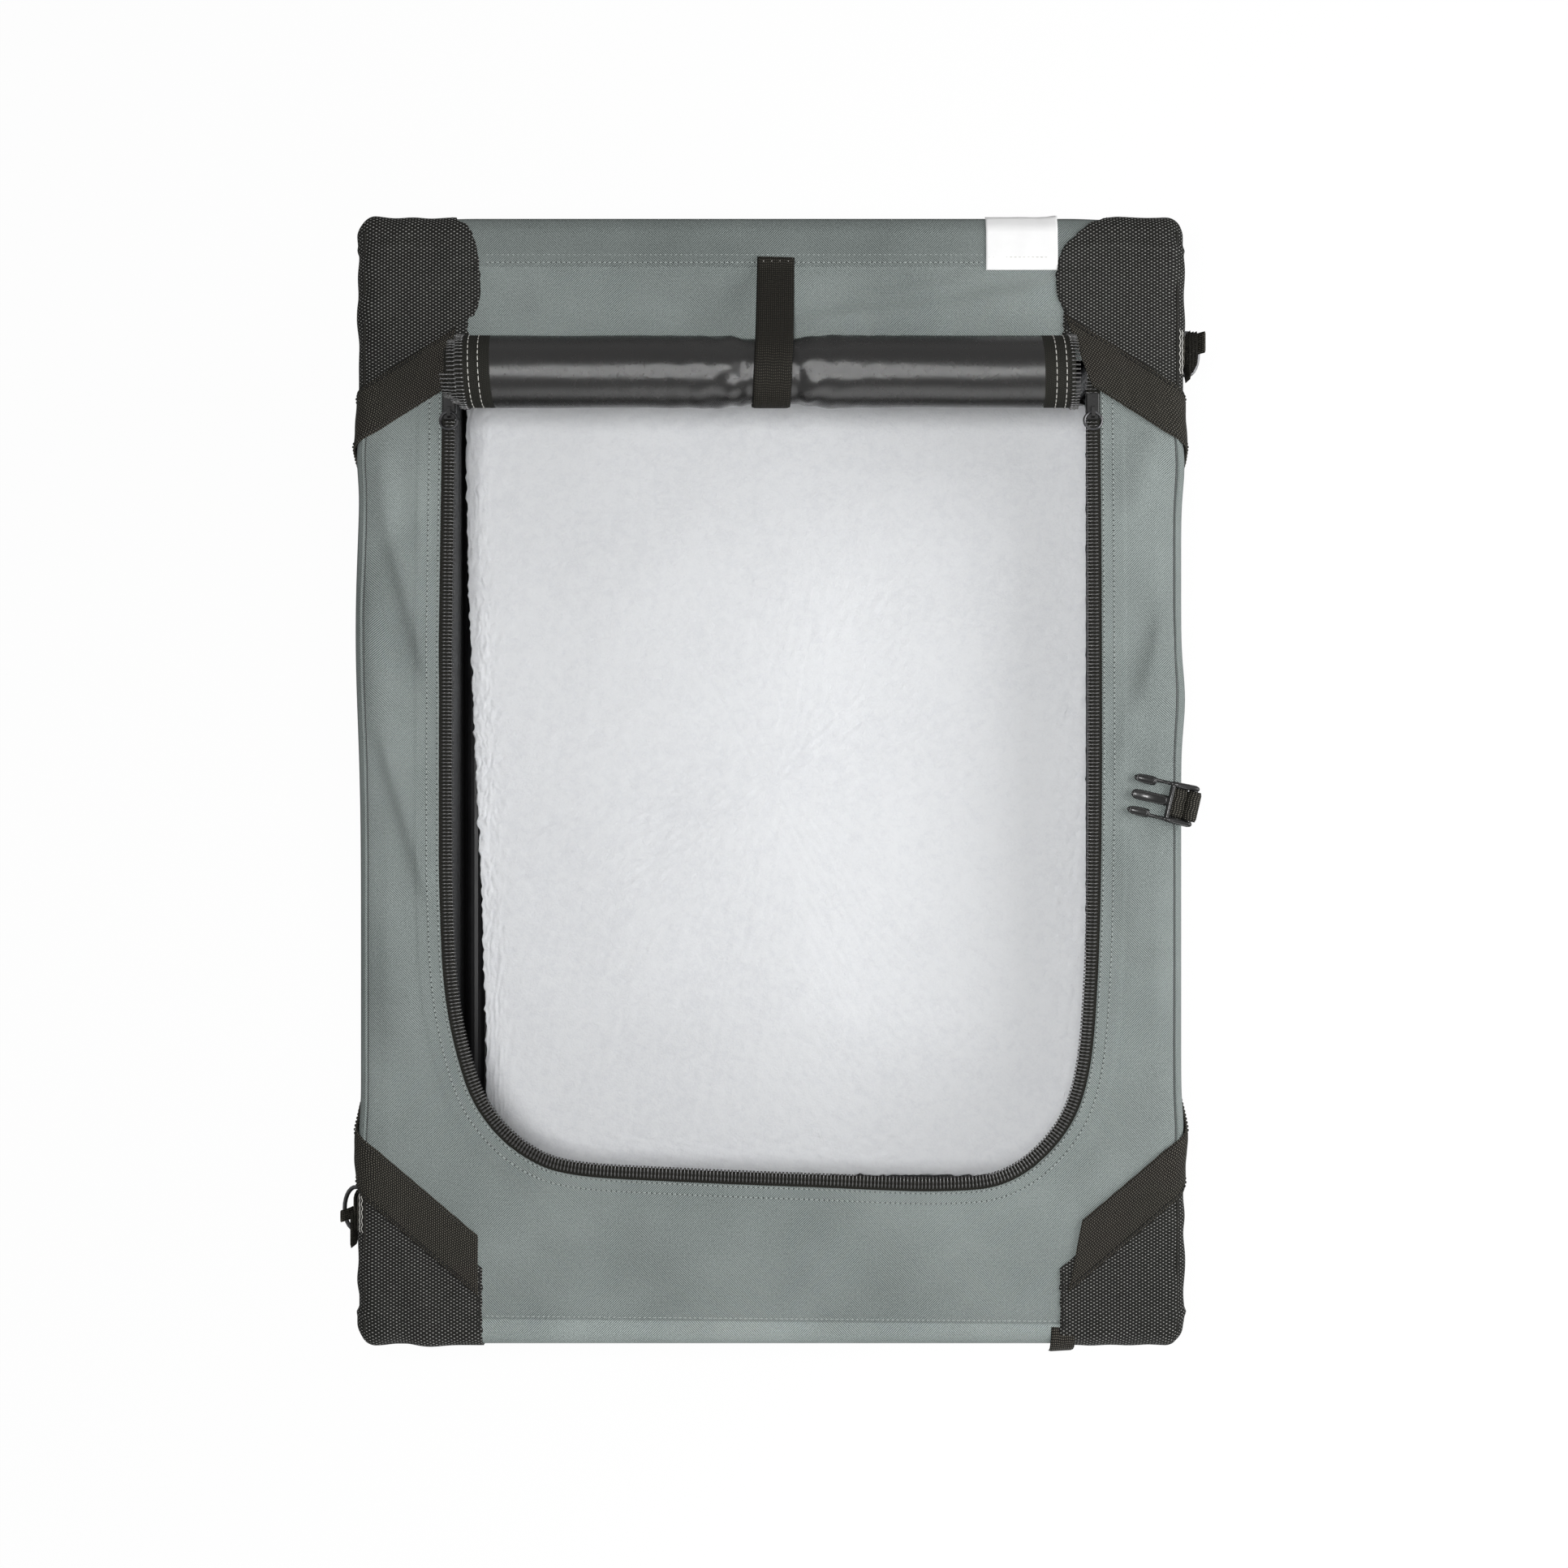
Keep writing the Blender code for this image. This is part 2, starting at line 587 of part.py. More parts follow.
def build_mat(group, cutters):
    """The fleece mat: a crowned cushion between the rails, and a thin lap that lies on the side rails."""
    bm = bmesh.new()
    bmesh.ops.create_cube(bm, size=2.0)
    bmesh.ops.subdivide_edges(bm, edges=bm.edges[:], cuts=MAT_CUTS, use_grid_fill=True)
    foot = SKIN + SEAT
    crown = LOWER_PIVOT_Z - EYE_RADIUS - MAT_TOP_GAP - foot
    end = FRAME_Y - SOCKET_RADIUS - MAT_END_GAP
    for vert in bm.verts:
        u, v, w = vert.co
        rim = max(abs(u), abs(v)) ** 8
        height = crown * (1.0 - (1.0 - MAT_RIM) * rim)
        half_x = FRAME_X - SOCKET_RADIUS - MAT_SIDE_GAP - MAT_DRAW * (1.0 - v * v)
        half_y = end - MAT_DRAW * (1.0 - u * u)
        corner_cut = MAT_CORNER * (1.0 - math.sqrt(0.5)) * (u * v) ** 12
        x = u * half_x - math.copysign(corner_cut, u)
        y = v * half_y - math.copysign(corner_cut, v)
        vert.co = (x, y, foot + height * (w + 1.0) / 2.0)
    lap_end = end - MAT_LAP_END
    outline = rounded_rectangle(HALF_WIDTH - SKIN - MAT_LAP_SIDE_GAP, -lap_end, lap_end, MAT_CORNER)
    lap_z = BASE_Z + SOCKET_RADIUS + SEAT + MAT_LAP / 2
    lap = turned(outline_mesh(outline, MAT_LAP), Matrix.Translation((0.0, 0.0, lap_z)))
    fuse("mat", group, cutters, WHITE_FLEECE, (0.0, 0.0, 0.0), [mesh_from(bm, "mat"), lap])


def build_zip(group):
    """The zip's tape and teeth round the roof opening, as one band."""
    rear = OPENING_REAR - SEAT
    outer, inner = (u_path(OPENING_HALF_WIDTH - edge, OPENING_FRONT + edge, rear, OPENING_RADIUS - edge)
                    for edge in (SEAT, SEAT + ZIP_WIDTH))
    band = outline_mesh(outer + inner[::-1], ZIP_THICKNESS)
    place(band, "roof_zip", group, BLACK_ZIP, (0.0, 0.0, ZIP_TOP - ZIP_THICKNESS / 2))


def build_sliders(group, cutters):
    """Both sliders on the zip, each with a bridge that holds a ring pull."""
    foot = SEAT
    top = foot + SLIDER_HEIGHT
    slot = 2 * (PULL_WIRE + SEAT)
    half = BRIDGE_LENGTH / 2
    hole_half = slot / 2 + SEAT
    outline = [(-half, -SEAT), (half, -SEAT), (half - BRIDGE_BAR, slot + BRIDGE_BAR),
               (BRIDGE_BAR - half, slot + BRIDGE_BAR)]
    hole = [(-hole_half, 0.0), (hole_half, 0.0), (hole_half, slot), (-hole_half, slot)]
    for side, sign in SIDES.items():
        x = sign * (OPENING_HALF_WIDTH - SEAT - ZIP_WIDTH / 2)
        body = block((-SLIDER_WIDTH / 2, -SLIDER_LENGTH / 2, foot),
                     (SLIDER_WIDTH / 2, SLIDER_LENGTH / 2, top), SLIDER_HEIGHT / 5)
        bridge = turned(outline_mesh(outline, BRIDGE_WIDTH, [hole]),
                        Matrix.Translation((0.0, -BRIDGE_FORWARD, top)) @ upright("X"))
        fuse(f"zip_slider_{side}", group, cutters, BLACK_PLASTIC, (x, SLIDER_Y, ZIP_TOP),
             [body, bridge])
        pull(f"zip_pull_{side}", group, (x, PULL_Y, ZIP_TOP + top + slot / 2))


def pull(name, group, hinge):
    """A ring that hangs in the slider's bridge. Its origin is on the axis that it swings about."""
    bpy.ops.mesh.primitive_torus_add(major_segments=20, minor_segments=8, major_radius=PULL_RADIUS,
                                     minor_radius=PULL_WIRE, location=(0.0, 0.0, 0.0))
    ring = bpy.context.object
    mesh = ring.data
    bpy.data.objects.remove(ring, do_unlink=True)
    mesh.shade_smooth()
    place(turned(mesh, Matrix.Translation((0.0, -PULL_RADIUS, 0.0))), name, group, BLACK_STEEL, hinge)


def build_roll(group):
    """The roof door, rolled up behind the opening and drawn in under its strap."""
    ends = ROLL_HALF_LENGTH
    waist = ROLL_RADIUS - ROLL_PINCH
    waist_half = ROLL_STRAP_WIDTH / 2 + BUCKLE_PLAY
    left = -ROLL_CENTRE_X - waist_half
    right = -ROLL_CENTRE_X + waist_half
    profile = [
        (0.0, ends), (ROLL_RADIUS - SKIN, ends), (ROLL_RADIUS, ends - SKIN),
        (ROLL_RADIUS, right + 2 * waist_half), (waist, right), (waist, left),
        (ROLL_RADIUS, left - 2 * waist_half),
        (ROLL_RADIUS, SKIN - ends), (ROLL_RADIUS - SKIN, -ends), (0.0, -ends),
    ]
    bm = bmesh.new()
    verts = [bm.verts.new((radius, 0.0, along)) for radius, along in profile]
    for first, second in zip(verts, verts[1:]):
        bm.edges.new((first, second))
    mesh = mesh_from(bm, "top_door_roll", smooth=False)
    roll = place(mesh, "top_door_roll", group, BLACK_COATED, (ROLL_CENTRE_X, ROLL_CENTRE_Y, ROLL_Z))
    roll.rotation_euler = (0.0, math.radians(90), 0.0)
    screw = roll.modifiers.new("Turn", "SCREW")
    screw.steps = 24
    screw.render_steps = 24
    screw.use_merge_vertices = True
    screw.merge_threshold = 0.00001
    screw.use_smooth_shade = True


def build_roll_strap(group):
    """The webbing sewn to the roof behind the roll, over the roll and down its front."""
    inner = ROLL_RADIUS - ROLL_PINCH + SEAT
    centre = Vector((ROLL_CENTRE_Y, ROLL_Z))
    foot = Vector((ROLL_CENTRE_Y + ROLL_RADIUS + ROLL_STRAP_FOOT, CRATE_HEIGHT + SEAT))
    offset = foot - centre
    start = math.atan2(offset.y, offset.x) + math.acos(inner / offset.length)
    slope = Vector((math.cos(start), math.sin(start)))
    under = [tuple(foot)] + arc(centre, inner, start, ROLL_STRAP_END, 18)
    over = [tuple(foot + slope * WEBBING)] + arc(centre, inner + WEBBING, start, ROLL_STRAP_END, 18)
    strap = turned(outline_mesh(under + over[::-1], ROLL_STRAP_WIDTH), upright("X"))
    place(strap, "roll_strap", group, BLACK_WEBBING)


def build_label(group):
    """The blank care label, sewn to the roof and lying over its rear edge."""
    right = PATCH_INNER_X - LABEL_GAP
    planes = [
        ((right - LABEL_WIDTH, 0, 0), (-1, 0, 0)),
        ((right, 0, 0), (1, 0, 0)),
        ((0, HALF_LENGTH - LABEL_LENGTH, 0), (0, -1, 0)),
        ((0, 0, CRATE_HEIGHT - LABEL_DROP), (0, 0, -1)),
    ]
    cover_piece("care_label", group, WHITE_LABEL, planes, SEAT + LABEL, LABEL)


def patch_hem(end):
    """How far from the middle the hem of an end's patches lies, at their inner edge and at the side."""
    if end == "rear":
        return HALF_LENGTH - PATCH_REAR_INNER_LENGTH, HALF_LENGTH - PATCH_REAR_OUTER_LENGTH
    return HALF_LENGTH - PATCH_FRONT_INNER_LENGTH, HALF_LENGTH - PATCH_FRONT_OUTER_LENGTH


def build_patches(group):
    """The reinforcement over each top corner, cut off along a slanting hem."""
    for end, end_sign in ENDS.items():
        inner, outer = patch_hem(end)
        for side, side_sign in SIDES.items():
            inner_x = side_sign * PATCH_INNER_X
            across_hem = Vector((-side_sign * (inner - outer), -end_sign * PATCH_WIDTH, 0.0))
            planes = [
                ((inner_x, 0, 0), (-side_sign, 0, 0)),
                ((inner_x, end_sign * inner, 0), across_hem.normalized()),
                ((0, 0, CRATE_HEIGHT - PATCH_DROP), (0, 0, -1)),
            ]
            cover_piece(f"corner_patch_{end}_{side}", group, BLACK_PATCH, planes, PATCH_OUTSET, PATCH)


def over_edge(distance, lift):
    """Where a band lies that runs over a long edge, lifted off the cover: its x and its z."""
    radius = EDGE_RADIUS + lift
    past = distance - FRAME_X
    if past <= 0.0:
        return distance, CRATE_HEIGHT + lift
    angle = past / radius
    if angle <= math.pi / 2:
        return FRAME_X + radius * math.sin(angle), TOP_Z + radius * math.cos(angle)
    return FRAME_X + radius, TOP_Z - (past - radius * math.pi / 2)


def build_hem_webbing(group):
    """The webbing along each patch's hem, over the long edge and down the side wall."""
    radius = EDGE_RADIUS + HEM_OUTSET
    turn = [FRAME_X + radius * math.pi / 2 * i / ROUND_STEPS for i in range(ROUND_STEPS + 1)]
    stations = [PATCH_INNER_X - WEBBING] + turn + [turn[-1] + HEM_WEBBING_DROP]
    for end, end_sign in ENDS.items():
        inner, outer = patch_hem(end)
        slope = (inner - outer) / PATCH_WIDTH
        half = HEM_WEBBING_WIDTH / 2 * math.hypot(1.0, slope)
        for side, side_sign in SIDES.items():
            bm = bmesh.new()
            bmesh.ops.create_grid(bm, x_segments=len(stations) - 1, y_segments=1, size=1.0)
            for vert in bm.verts:
                column = round((vert.co.x + 1.0) / 2.0 * (len(stations) - 1))
                distance = stations[column]
                x, z = over_edge(distance, HEM_OUTSET)
                y = outer + (HALF_WIDTH - distance) * slope + half * vert.co.y
                vert.co = (side_sign * x, end_sign * y, z)
            if side_sign * end_sign < 0:
                bmesh.ops.reverse_faces(bm, faces=bm.faces)
            name = f"hem_webbing_{end}_{side}"
            obj = place(mesh_from(bm, name), name, group, BLACK_WEBBING)
            thicken(obj, WEBBING, 1.0)


def loop_and_leg(outer, left, right, end):
    """The outline of a webbing loop about zero, with a straight leg up or down to a height."""
    around = arc((0.0, 0.0), outer, math.acos(right / outer), math.acos(left / outer) - 2 * math.pi,
                 2 * ARC_STEPS)
    points = [(left, abs(end)), (right, abs(end))] + around
    return [(x, math.copysign(1.0, end) * y) for x, y in points]


def loop_hole(radius):
    """The hole through a webbing loop."""
    return arc((0.0, 0.0), radius, 0.0, 2 * math.pi * (1 - 1 / EYE_SIDES), EYE_SIDES - 1)


def build_ring_tabs(group):
    """The webbing loop near two opposite corners, with the steel ring that swings in it."""
    loop = RING_WIRE + SEAT
    outer = loop + WEBBING
    x = HALF_WIDTH + HEM_OUTSET + outer
    z = CRATE_HEIGHT - RING_DROP
    outline = loop_and_leg(outer, -outer, 2 * WEBBING - outer, RING_DROP - RING_TAB_TOP)
    for side, sign in SIDES.items():
        tab = outline_mesh(outline, RING_TAB_WIDTH, [loop_hole(loop)])
        outwards = Matrix.Diagonal((sign, sign, 1.0, 1.0)) @ upright("Y")
        hinge = (sign * x, sign * (HALF_LENGTH - RING_INSET), z)
        place(turned(tab, outwards), f"ring_tab_{side}", group, BLACK_WEBBING, hinge)
        strap_ring(f"strap_ring_{side}", group, sign, hinge)


def strap_ring(name, group, sign, hinge):
    """A D shaped wire ring: a straight bar in the tab, and a bow that points outwards."""
    bend = 2 * RING_WIRE
    bow = arc((0.0, 0.0), 1.0, math.radians(-80), math.radians(80), 12)
    shape = [(0.0, RING_WIRE - RING_HALF), (RING_WIRE, -RING_HALF)]
    shape += [(bend + (RING_REACH - bend) * u, RING_HALF * v) for u, v in bow]
    shape += [(RING_WIRE, RING_HALF), (0.0, RING_HALF - RING_WIRE)]
    curve = bpy.data.curves.new(name, "CURVE")
    curve.dimensions = "3D"
    curve.bevel_depth = RING_WIRE
    curve.bevel_resolution = 2
    spline = curve.splines.new("POLY")
    spline.points.add(len(shape) - 1)
    for target, (x, y) in zip(spline.points, shape):
        target.co = (sign * x, y, 0.0, 1.0)
    spline.use_cyclic_u = True
    place(curve, name, group, BLACK_STEEL, hinge)


def build_buckle(group, cutters):
    """The side release buckle: the plug on the roof's edge and the socket below it at the floor."""
    loop = math.hypot(BAR_HALF, BUCKLE_THICKNESS / 2) + SEAT
    outer = loop + WEBBING
    skew = BUCKLE_TAB_WIDTH / 2 * math.sin(BUCKLE_TURN)
    hinge = (HALF_WIDTH + SEAT + skew + outer / 2, BUCKLE_Y, CRATE_HEIGHT + BUCKLE_LIFT)
    turn = Matrix.Rotation(-BUCKLE_TURN, 4, "Z")
    half = plug_half_outline()
    outline = half + [(u, -v) for u, v in half[-2:0:-1]]
    window = [(BAR_HALF, -BUCKLE_WINDOW_HALF), (BUCKLE_WINDOW_END, -BUCKLE_WINDOW_HALF),
              (BUCKLE_WINDOW_END, BUCKLE_WINDOW_HALF), (BAR_HALF, BUCKLE_WINDOW_HALF)]
    plug = turned(outline_mesh(outline, BUCKLE_THICKNESS, [window]),
                  turn @ Matrix.Diagonal((-1.0, -1.0, 1.0, 1.0)))
    place(plug, "buckle_plug", group, BLACK_PLASTIC, hinge)
    leg = -outer / 2
    strip = loop_and_leg(outer, leg, leg + WEBBING, -TRAY_DEPTH)
    tab = outline_mesh(strip, BUCKLE_TAB_WIDTH, [loop_hole(loop)])
    place(turned(tab, turn @ upright("Y")), "buckle_tab", group, BLACK_WEBBING, hinge)
    buckle_socket(group, cutters)


def plug_half_outline():
    """One half of the plug, from the middle of its bar to the middle of its tongue."""
    arm_out = BUCKLE_HALF - ARM_INSET
    arm_in = arm_out - ARM_WIDTH
    tip = BUCKLE_FRAME_END + ARM_LENGTH
    head = tip - ARM_HEAD_LENGTH
    head_in = BUCKLE_HALF - ARM_HEAD_WIDTH
    blunt = ARM_TIP_LENGTH / 6
    tongue = TONGUE_WIDTH / 2
    tongue_end = tip - TONGUE_SHORT
    return [
        (-BAR_HALF, 0.0), (-BAR_HALF, BUCKLE_HALF - BAR_HALF), (0.0, BUCKLE_HALF),
        (BUCKLE_FRAME_END, BUCKLE_HALF), (BUCKLE_FRAME_END, arm_out), (head, arm_out),
        (head, BUCKLE_HALF), (tip - ARM_TIP_LENGTH, BUCKLE_HALF), (tip - blunt, ARM_TIP_HALF),
        (tip, (ARM_TIP_HALF + head_in) / 2), (tip - ARM_TIP_LENGTH, head_in), (head + blunt, head_in),
        (head, arm_in), (BUCKLE_FRAME_END, arm_in), (BUCKLE_FRAME_END, tongue),
        (tongue_end - TONGUE_TIP, tongue), (tongue_end - TONGUE_TIP / 4, tongue / 2), (tongue_end, 0.0),
    ]


def buckle_socket(group, cutters):
    """The socket half, its mouth up, held against the rim at the floor."""
    mouth_x = BUCKLE_THICKNESS + 2 * BUCKLE_PLAY
    mouth_y = 2 * (ARM_TIP_HALF + 2 * BUCKLE_PLAY)
    depth = mouth_x + 2 * SOCKET_FACE
    width = mouth_y + 2 * SOCKET_SIDE
    height = SOCKET_BASE + ARM_LENGTH + BUCKLE_PLAY
    housing = block((0.0, -width / 2, 0.0), (depth, width / 2, height), SOCKET_FACE / 2)
    mouth = block((SOCKET_FACE, -mouth_y / 2, SOCKET_BASE),
                  (SOCKET_FACE + mouth_x, mouth_y / 2, height + SOCKET_FACE))
    foot = (HALF_WIDTH + SEAT, BUCKLE_Y, SOCKET_LOW)
    fuse("buckle_socket", group, cutters, BLACK_PLASTIC, foot, [housing], [mouth])


def carry_top_pieces(group):
    """Hang what the top frame carries on an empty that lies on the pivots of the left posts."""
    pivot = Vector((-FRAME_X, 0.0, UPPER_PIVOT_Z))
    carrier = bpy.data.objects.new("top_frame", None)
    carrier.location = pivot
    carrier.empty_display_size = EYE_RADIUS
    for obj in group.objects:
        if obj.name.startswith(TOP_PIECES):
            obj.parent = carrier
            obj.matrix_parent_inverse = Matrix.Translation(-pivot)
    group.objects.link(carrier)


def main():
    """Build the carrier."""
    clear_scene()
    parts = new_collection("folding_pet_carrier")
    cutters = new_collection("cutters")
    build_rails(parts)
    build_corners(parts, cutters)
    build_posts(parts, cutters)
    build_cover(parts, cutters)
    build_windows(parts)
    build_mat(parts, cutters)
    build_zip(parts)
    build_sliders(parts, cutters)
    build_roll(parts)
    build_roll_strap(parts)
    build_label(parts)
    build_patches(parts)
    build_hem_webbing(parts)
    build_ring_tabs(parts)
    build_buckle(parts, cutters)
    carry_top_pieces(parts)


main()
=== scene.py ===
"""Looks of a folding pet carrier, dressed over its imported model.

Cloth, webbing, zips, piping and fleece are surfaces worked out with numpy, and take the place of the
model's plain cloth solids. The tubes, mouldings, sliders and wire rings stay, and get their finishes.

Axes: +X is the carrier's right side, +Y its rear end, +Z up, with the origin on the floor under the
middle. Lengths are in metres. A place on the cover is written (u, v): u across and v along the roof,
measured over the rounded edges as if the cloth were laid flat.
"""
import logging
import math
from dataclasses import dataclass
from enum import Enum

import bmesh
import bpy
import numpy as np
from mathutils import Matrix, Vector


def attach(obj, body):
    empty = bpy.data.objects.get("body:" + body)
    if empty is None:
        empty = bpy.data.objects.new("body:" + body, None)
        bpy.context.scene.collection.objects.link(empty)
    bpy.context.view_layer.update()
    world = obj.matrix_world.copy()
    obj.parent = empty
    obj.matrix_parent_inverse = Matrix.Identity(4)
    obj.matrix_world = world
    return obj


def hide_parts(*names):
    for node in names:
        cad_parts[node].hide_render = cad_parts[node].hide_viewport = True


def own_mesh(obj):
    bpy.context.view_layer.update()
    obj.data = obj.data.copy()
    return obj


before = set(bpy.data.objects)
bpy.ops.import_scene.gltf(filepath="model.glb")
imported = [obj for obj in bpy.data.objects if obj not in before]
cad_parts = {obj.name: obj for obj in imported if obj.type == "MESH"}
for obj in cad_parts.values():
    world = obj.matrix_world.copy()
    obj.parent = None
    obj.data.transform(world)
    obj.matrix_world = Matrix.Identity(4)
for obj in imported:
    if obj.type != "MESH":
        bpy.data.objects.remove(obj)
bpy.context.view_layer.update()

LOG = logging.getLogger("carrier")
Array = np.ndarray
Point = tuple[float, float]
Colour = tuple[float, float, float]
WEAVE_MAP = "Weave"
WHITE = (1.0, 1.0, 1.0, 1.0)
ALONG_X = np.array([1.0, 0.0, 0.0])
ALONG_Y = np.array([0.0, 1.0, 0.0])
ALONG_Z = np.array([0.0, 0.0, 1.0])


class Edge(Enum):
    """One of two opposite edges, as its sign along an axis."""

    @property
    def word(self) -> str:
        """The edge's name in a piece's name."""
        return self.name.lower()


class End(Edge):
    """The two short ends, with their sign along Y."""
    REAR = 1
    FRONT = -1


class Side(Edge):
    """The two long sides, with their sign along X."""
    RIGHT = 1
    LEFT = -1


# Shader nodes


class Wire:
    """One output of a material's nodes. Arithmetic on it adds Math nodes."""

    def __init__(self, nodes: "Nodes", socket: bpy.types.NodeSocket) -> None:
        """Keep the socket and the tree that it belongs to."""
        self.nodes, self.socket = nodes, socket

    def math(self, operation: str, *others: "Wire | float", first: bool = True) -> "Wire":
        """Put this wire and others through one Math node.

        Args:
            operation: the Math node's operation.
            others: wires or numbers for its other sockets.
            first: whether this wire is the first input, or the last.

        Returns:
            The node's output.
        """
        values = (self, *others) if first else (*others, self)
        return self.nodes.add("ShaderNodeMath", {"operation": operation}, dict(enumerate(values)))

    def __add__(self, other: "Wire | float") -> "Wire":
        """Sum."""
        return self.math("ADD", other)

    def __sub__(self, other: "Wire | float") -> "Wire":
        """Difference."""
        return self.math("SUBTRACT", other)

    def __rsub__(self, other: float) -> "Wire":
        """A number less this wire."""
        return self.math("SUBTRACT", other, first=False)

    def __mul__(self, other: "Wire | float") -> "Wire":
        """Product."""
        return self.math("MULTIPLY", other)

    __radd__ = __add__
    __rmul__ = __mul__

    def sine(self, wavelength: float) -> "Wire":
        """A wave from -1 to 1 of this length."""
        return (self * (2 * math.pi / wavelength)).math("SINE")

    def size(self) -> "Wire":
        """Absolute value."""
        return self.math("ABSOLUTE")

    def step(self, low: float, high: float) -> "Wire":
        """A smooth step from 0 at low to 1 at high."""
        return self.nodes.add("ShaderNodeMapRange", {"interpolation_type": "SMOOTHSTEP"},
                              {0: self, 1: low, 2: high, 3: 0.0, 4: 1.0})


class Nodes:
    """A material or a world under construction."""

    def __init__(self, owner: "bpy.types.Material | bpy.types.World") -> None:
        """Empty the owner's tree.

        Args:
            owner: the material or world.
        """
        self.owner = owner
        owner.use_nodes = True
        self.tree = owner.node_tree
        self.tree.nodes.clear()

    @staticmethod
    def material(name: str) -> "Nodes":
        """Start a material of this name."""
        return Nodes(bpy.data.materials.new(name))

    def add(self, kind: str, settings: dict | None = None, inputs: dict | None = None,
            output: int | str = 0) -> Wire:
        """Add one node.

        Args:
            kind: the node's type.
            settings: its properties, set first.
            inputs: values or wires for its sockets.
            output: which output to return.

        Returns:
            The output as a wire.
        """
        node = self.tree.nodes.new(kind)
        for name, value in (settings or {}).items():
            setattr(node, name, value)
        for key, value in (inputs or {}).items():
            if isinstance(value, Wire):
                self.tree.links.new(value.socket, node.inputs[key])
            else:
                node.inputs[key].default_value = value
        return Wire(self, node.outputs[output])

    def cloth(self) -> tuple[Wire, Wire, Wire]:
        """The piece's own weave map in metres: across, along, and both as a vector.

        Returns:
            The three wires.
        """
        vector = self.add("ShaderNodeUVMap", {"uv_map": WEAVE_MAP})
        split = self.add("ShaderNodeSeparateXYZ", None, {0: vector}).socket.node
        return Wire(self, split.outputs[0]), Wire(self, split.outputs[1]), vector

    def place(self) -> Wire:
        """Object coordinates."""
        return self.add("ShaderNodeTexCoord", output="Object")

    def noise(self, vector: Wire, scale: float, detail: float = 3.0, rough: float = 0.55,
              twist: float = 0.0) -> Wire:
        """Noise from 0 to 1 with this many cells in a metre."""
        return self.add("ShaderNodeTexNoise", None, {
            "Vector": vector, "Scale": scale, "Detail": detail, "Roughness": rough, "Distortion": twist})

    def mix(self, factor: Wire | float, low: "Wire | tuple", high: "Wire | tuple") -> Wire:
        """Mix two colours.

        Args:
            factor: the second colour's share.
            low: the first.
            high: the second.

        Returns:
            The mixed colour.
        """
        colours = [c if isinstance(c, Wire) else (*c, 1.0) for c in (low, high)]
        return self.add("ShaderNodeMix", {"data_type": "RGBA"},
                        {0: factor, 6: colours[0], 7: colours[1]}, 2)

    def tint(self, colour: Wire, share: float) -> Wire:
        """A colour made darker, or lighter."""
        return self.add("ShaderNodeVectorMath", {"operation": "SCALE"}, {0: colour, "Scale": share})

    def surface(self, colour: Wire, rough: "Wire | float", height: Wire, depth: float, shine: float,
                **others: "Wire | float") -> bpy.types.Material:
        """Finish with a Principled shader and its relief.

        Args:
            colour: its base colour.
            rough: its roughness.
            height: the relief, from 0 to 1.
            depth: how deep the relief is, in metres.
            shine: its specular level.
            others: more of its inputs.

        Returns:
            The finished material.
        """
        normal = self.add("ShaderNodeBump", None, {"Strength": 1.0, "Distance": depth, "Height": height})
        self.output("Material", self.add("ShaderNodeBsdfPrincipled", None, {
            "Base Color": colour, "Roughness": rough, "Normal": normal, "Specular IOR Level": shine,
            **others}))
        return self.owner

    def output(self, kind: str, shader: Wire) -> None:
        """Join a shader to the output of a material or a world."""
        node = self.tree.nodes.new(f"ShaderNodeOutput{kind}")
        self.tree.links.new(shader.socket, node.inputs["Surface"])


def shaded(colour: Colour, share: float) -> Colour:
    """A colour made darker, or lighter."""
    return tuple(share * part for part in colour)


# Surfaces


def grid_faces(rows: int, columns: int, around: bool = False) -> Array:
    """The quads of a grid of points, whose last column joins the first if it goes around.

    Args:
        rows: of points.
        columns: of points.
        around: whether the last column joins the first.

    Returns:
        Each quad's four points, by number.
    """
    index = np.arange(rows * columns).reshape(rows, columns)
    if around:
        index = np.hstack([index, index[:, :1]])
    return np.stack([index[:-1, :-1], index[:-1, 1:], index[1:, 1:], index[1:, :-1]], -1).reshape(-1, 4)


def grid_mesh(name: str, points: Array, weave: Array | None = None, around: bool = False,
              merge: bool = False, flip: bool = False) -> bpy.types.Mesh:
    """A surface as a grid of points.

    Args:
        name: the mesh's name.
        points: the grid, rows by columns by 3.
        weave: the weave map in metres, rows by columns by 2. If it goes around, one more column may
            give the seam its own end.
        around: whether the last column joins the first.
        merge: whether points that coincide become one.
        flip: whether to turn the faces over.

    Returns:
        The mesh, shaded smooth.
    """
    rows, columns = points.shape[:2]
    turn = slice(None, None, -1 if flip else 1)
    mesh = bpy.data.meshes.new(name)
    faces = grid_faces(rows, columns, around)[:, turn]
    mesh.from_pydata(points.reshape(-1, 3).tolist(), [], faces.tolist())
    if weave is not None:
        if around and weave.shape[1] == columns:
            weave = np.hstack([weave, weave[:, :1]])
        corners = grid_faces(rows, weave.shape[1])[:, turn]
        layer = mesh.uv_layers.new(name=WEAVE_MAP)
        layer.data.foreach_set("uv", weave.reshape(-1, 2)[corners.reshape(-1)].astype(np.float32).ravel())
    if merge:
        tidy(mesh, False)
    mesh.shade_smooth()
    return mesh


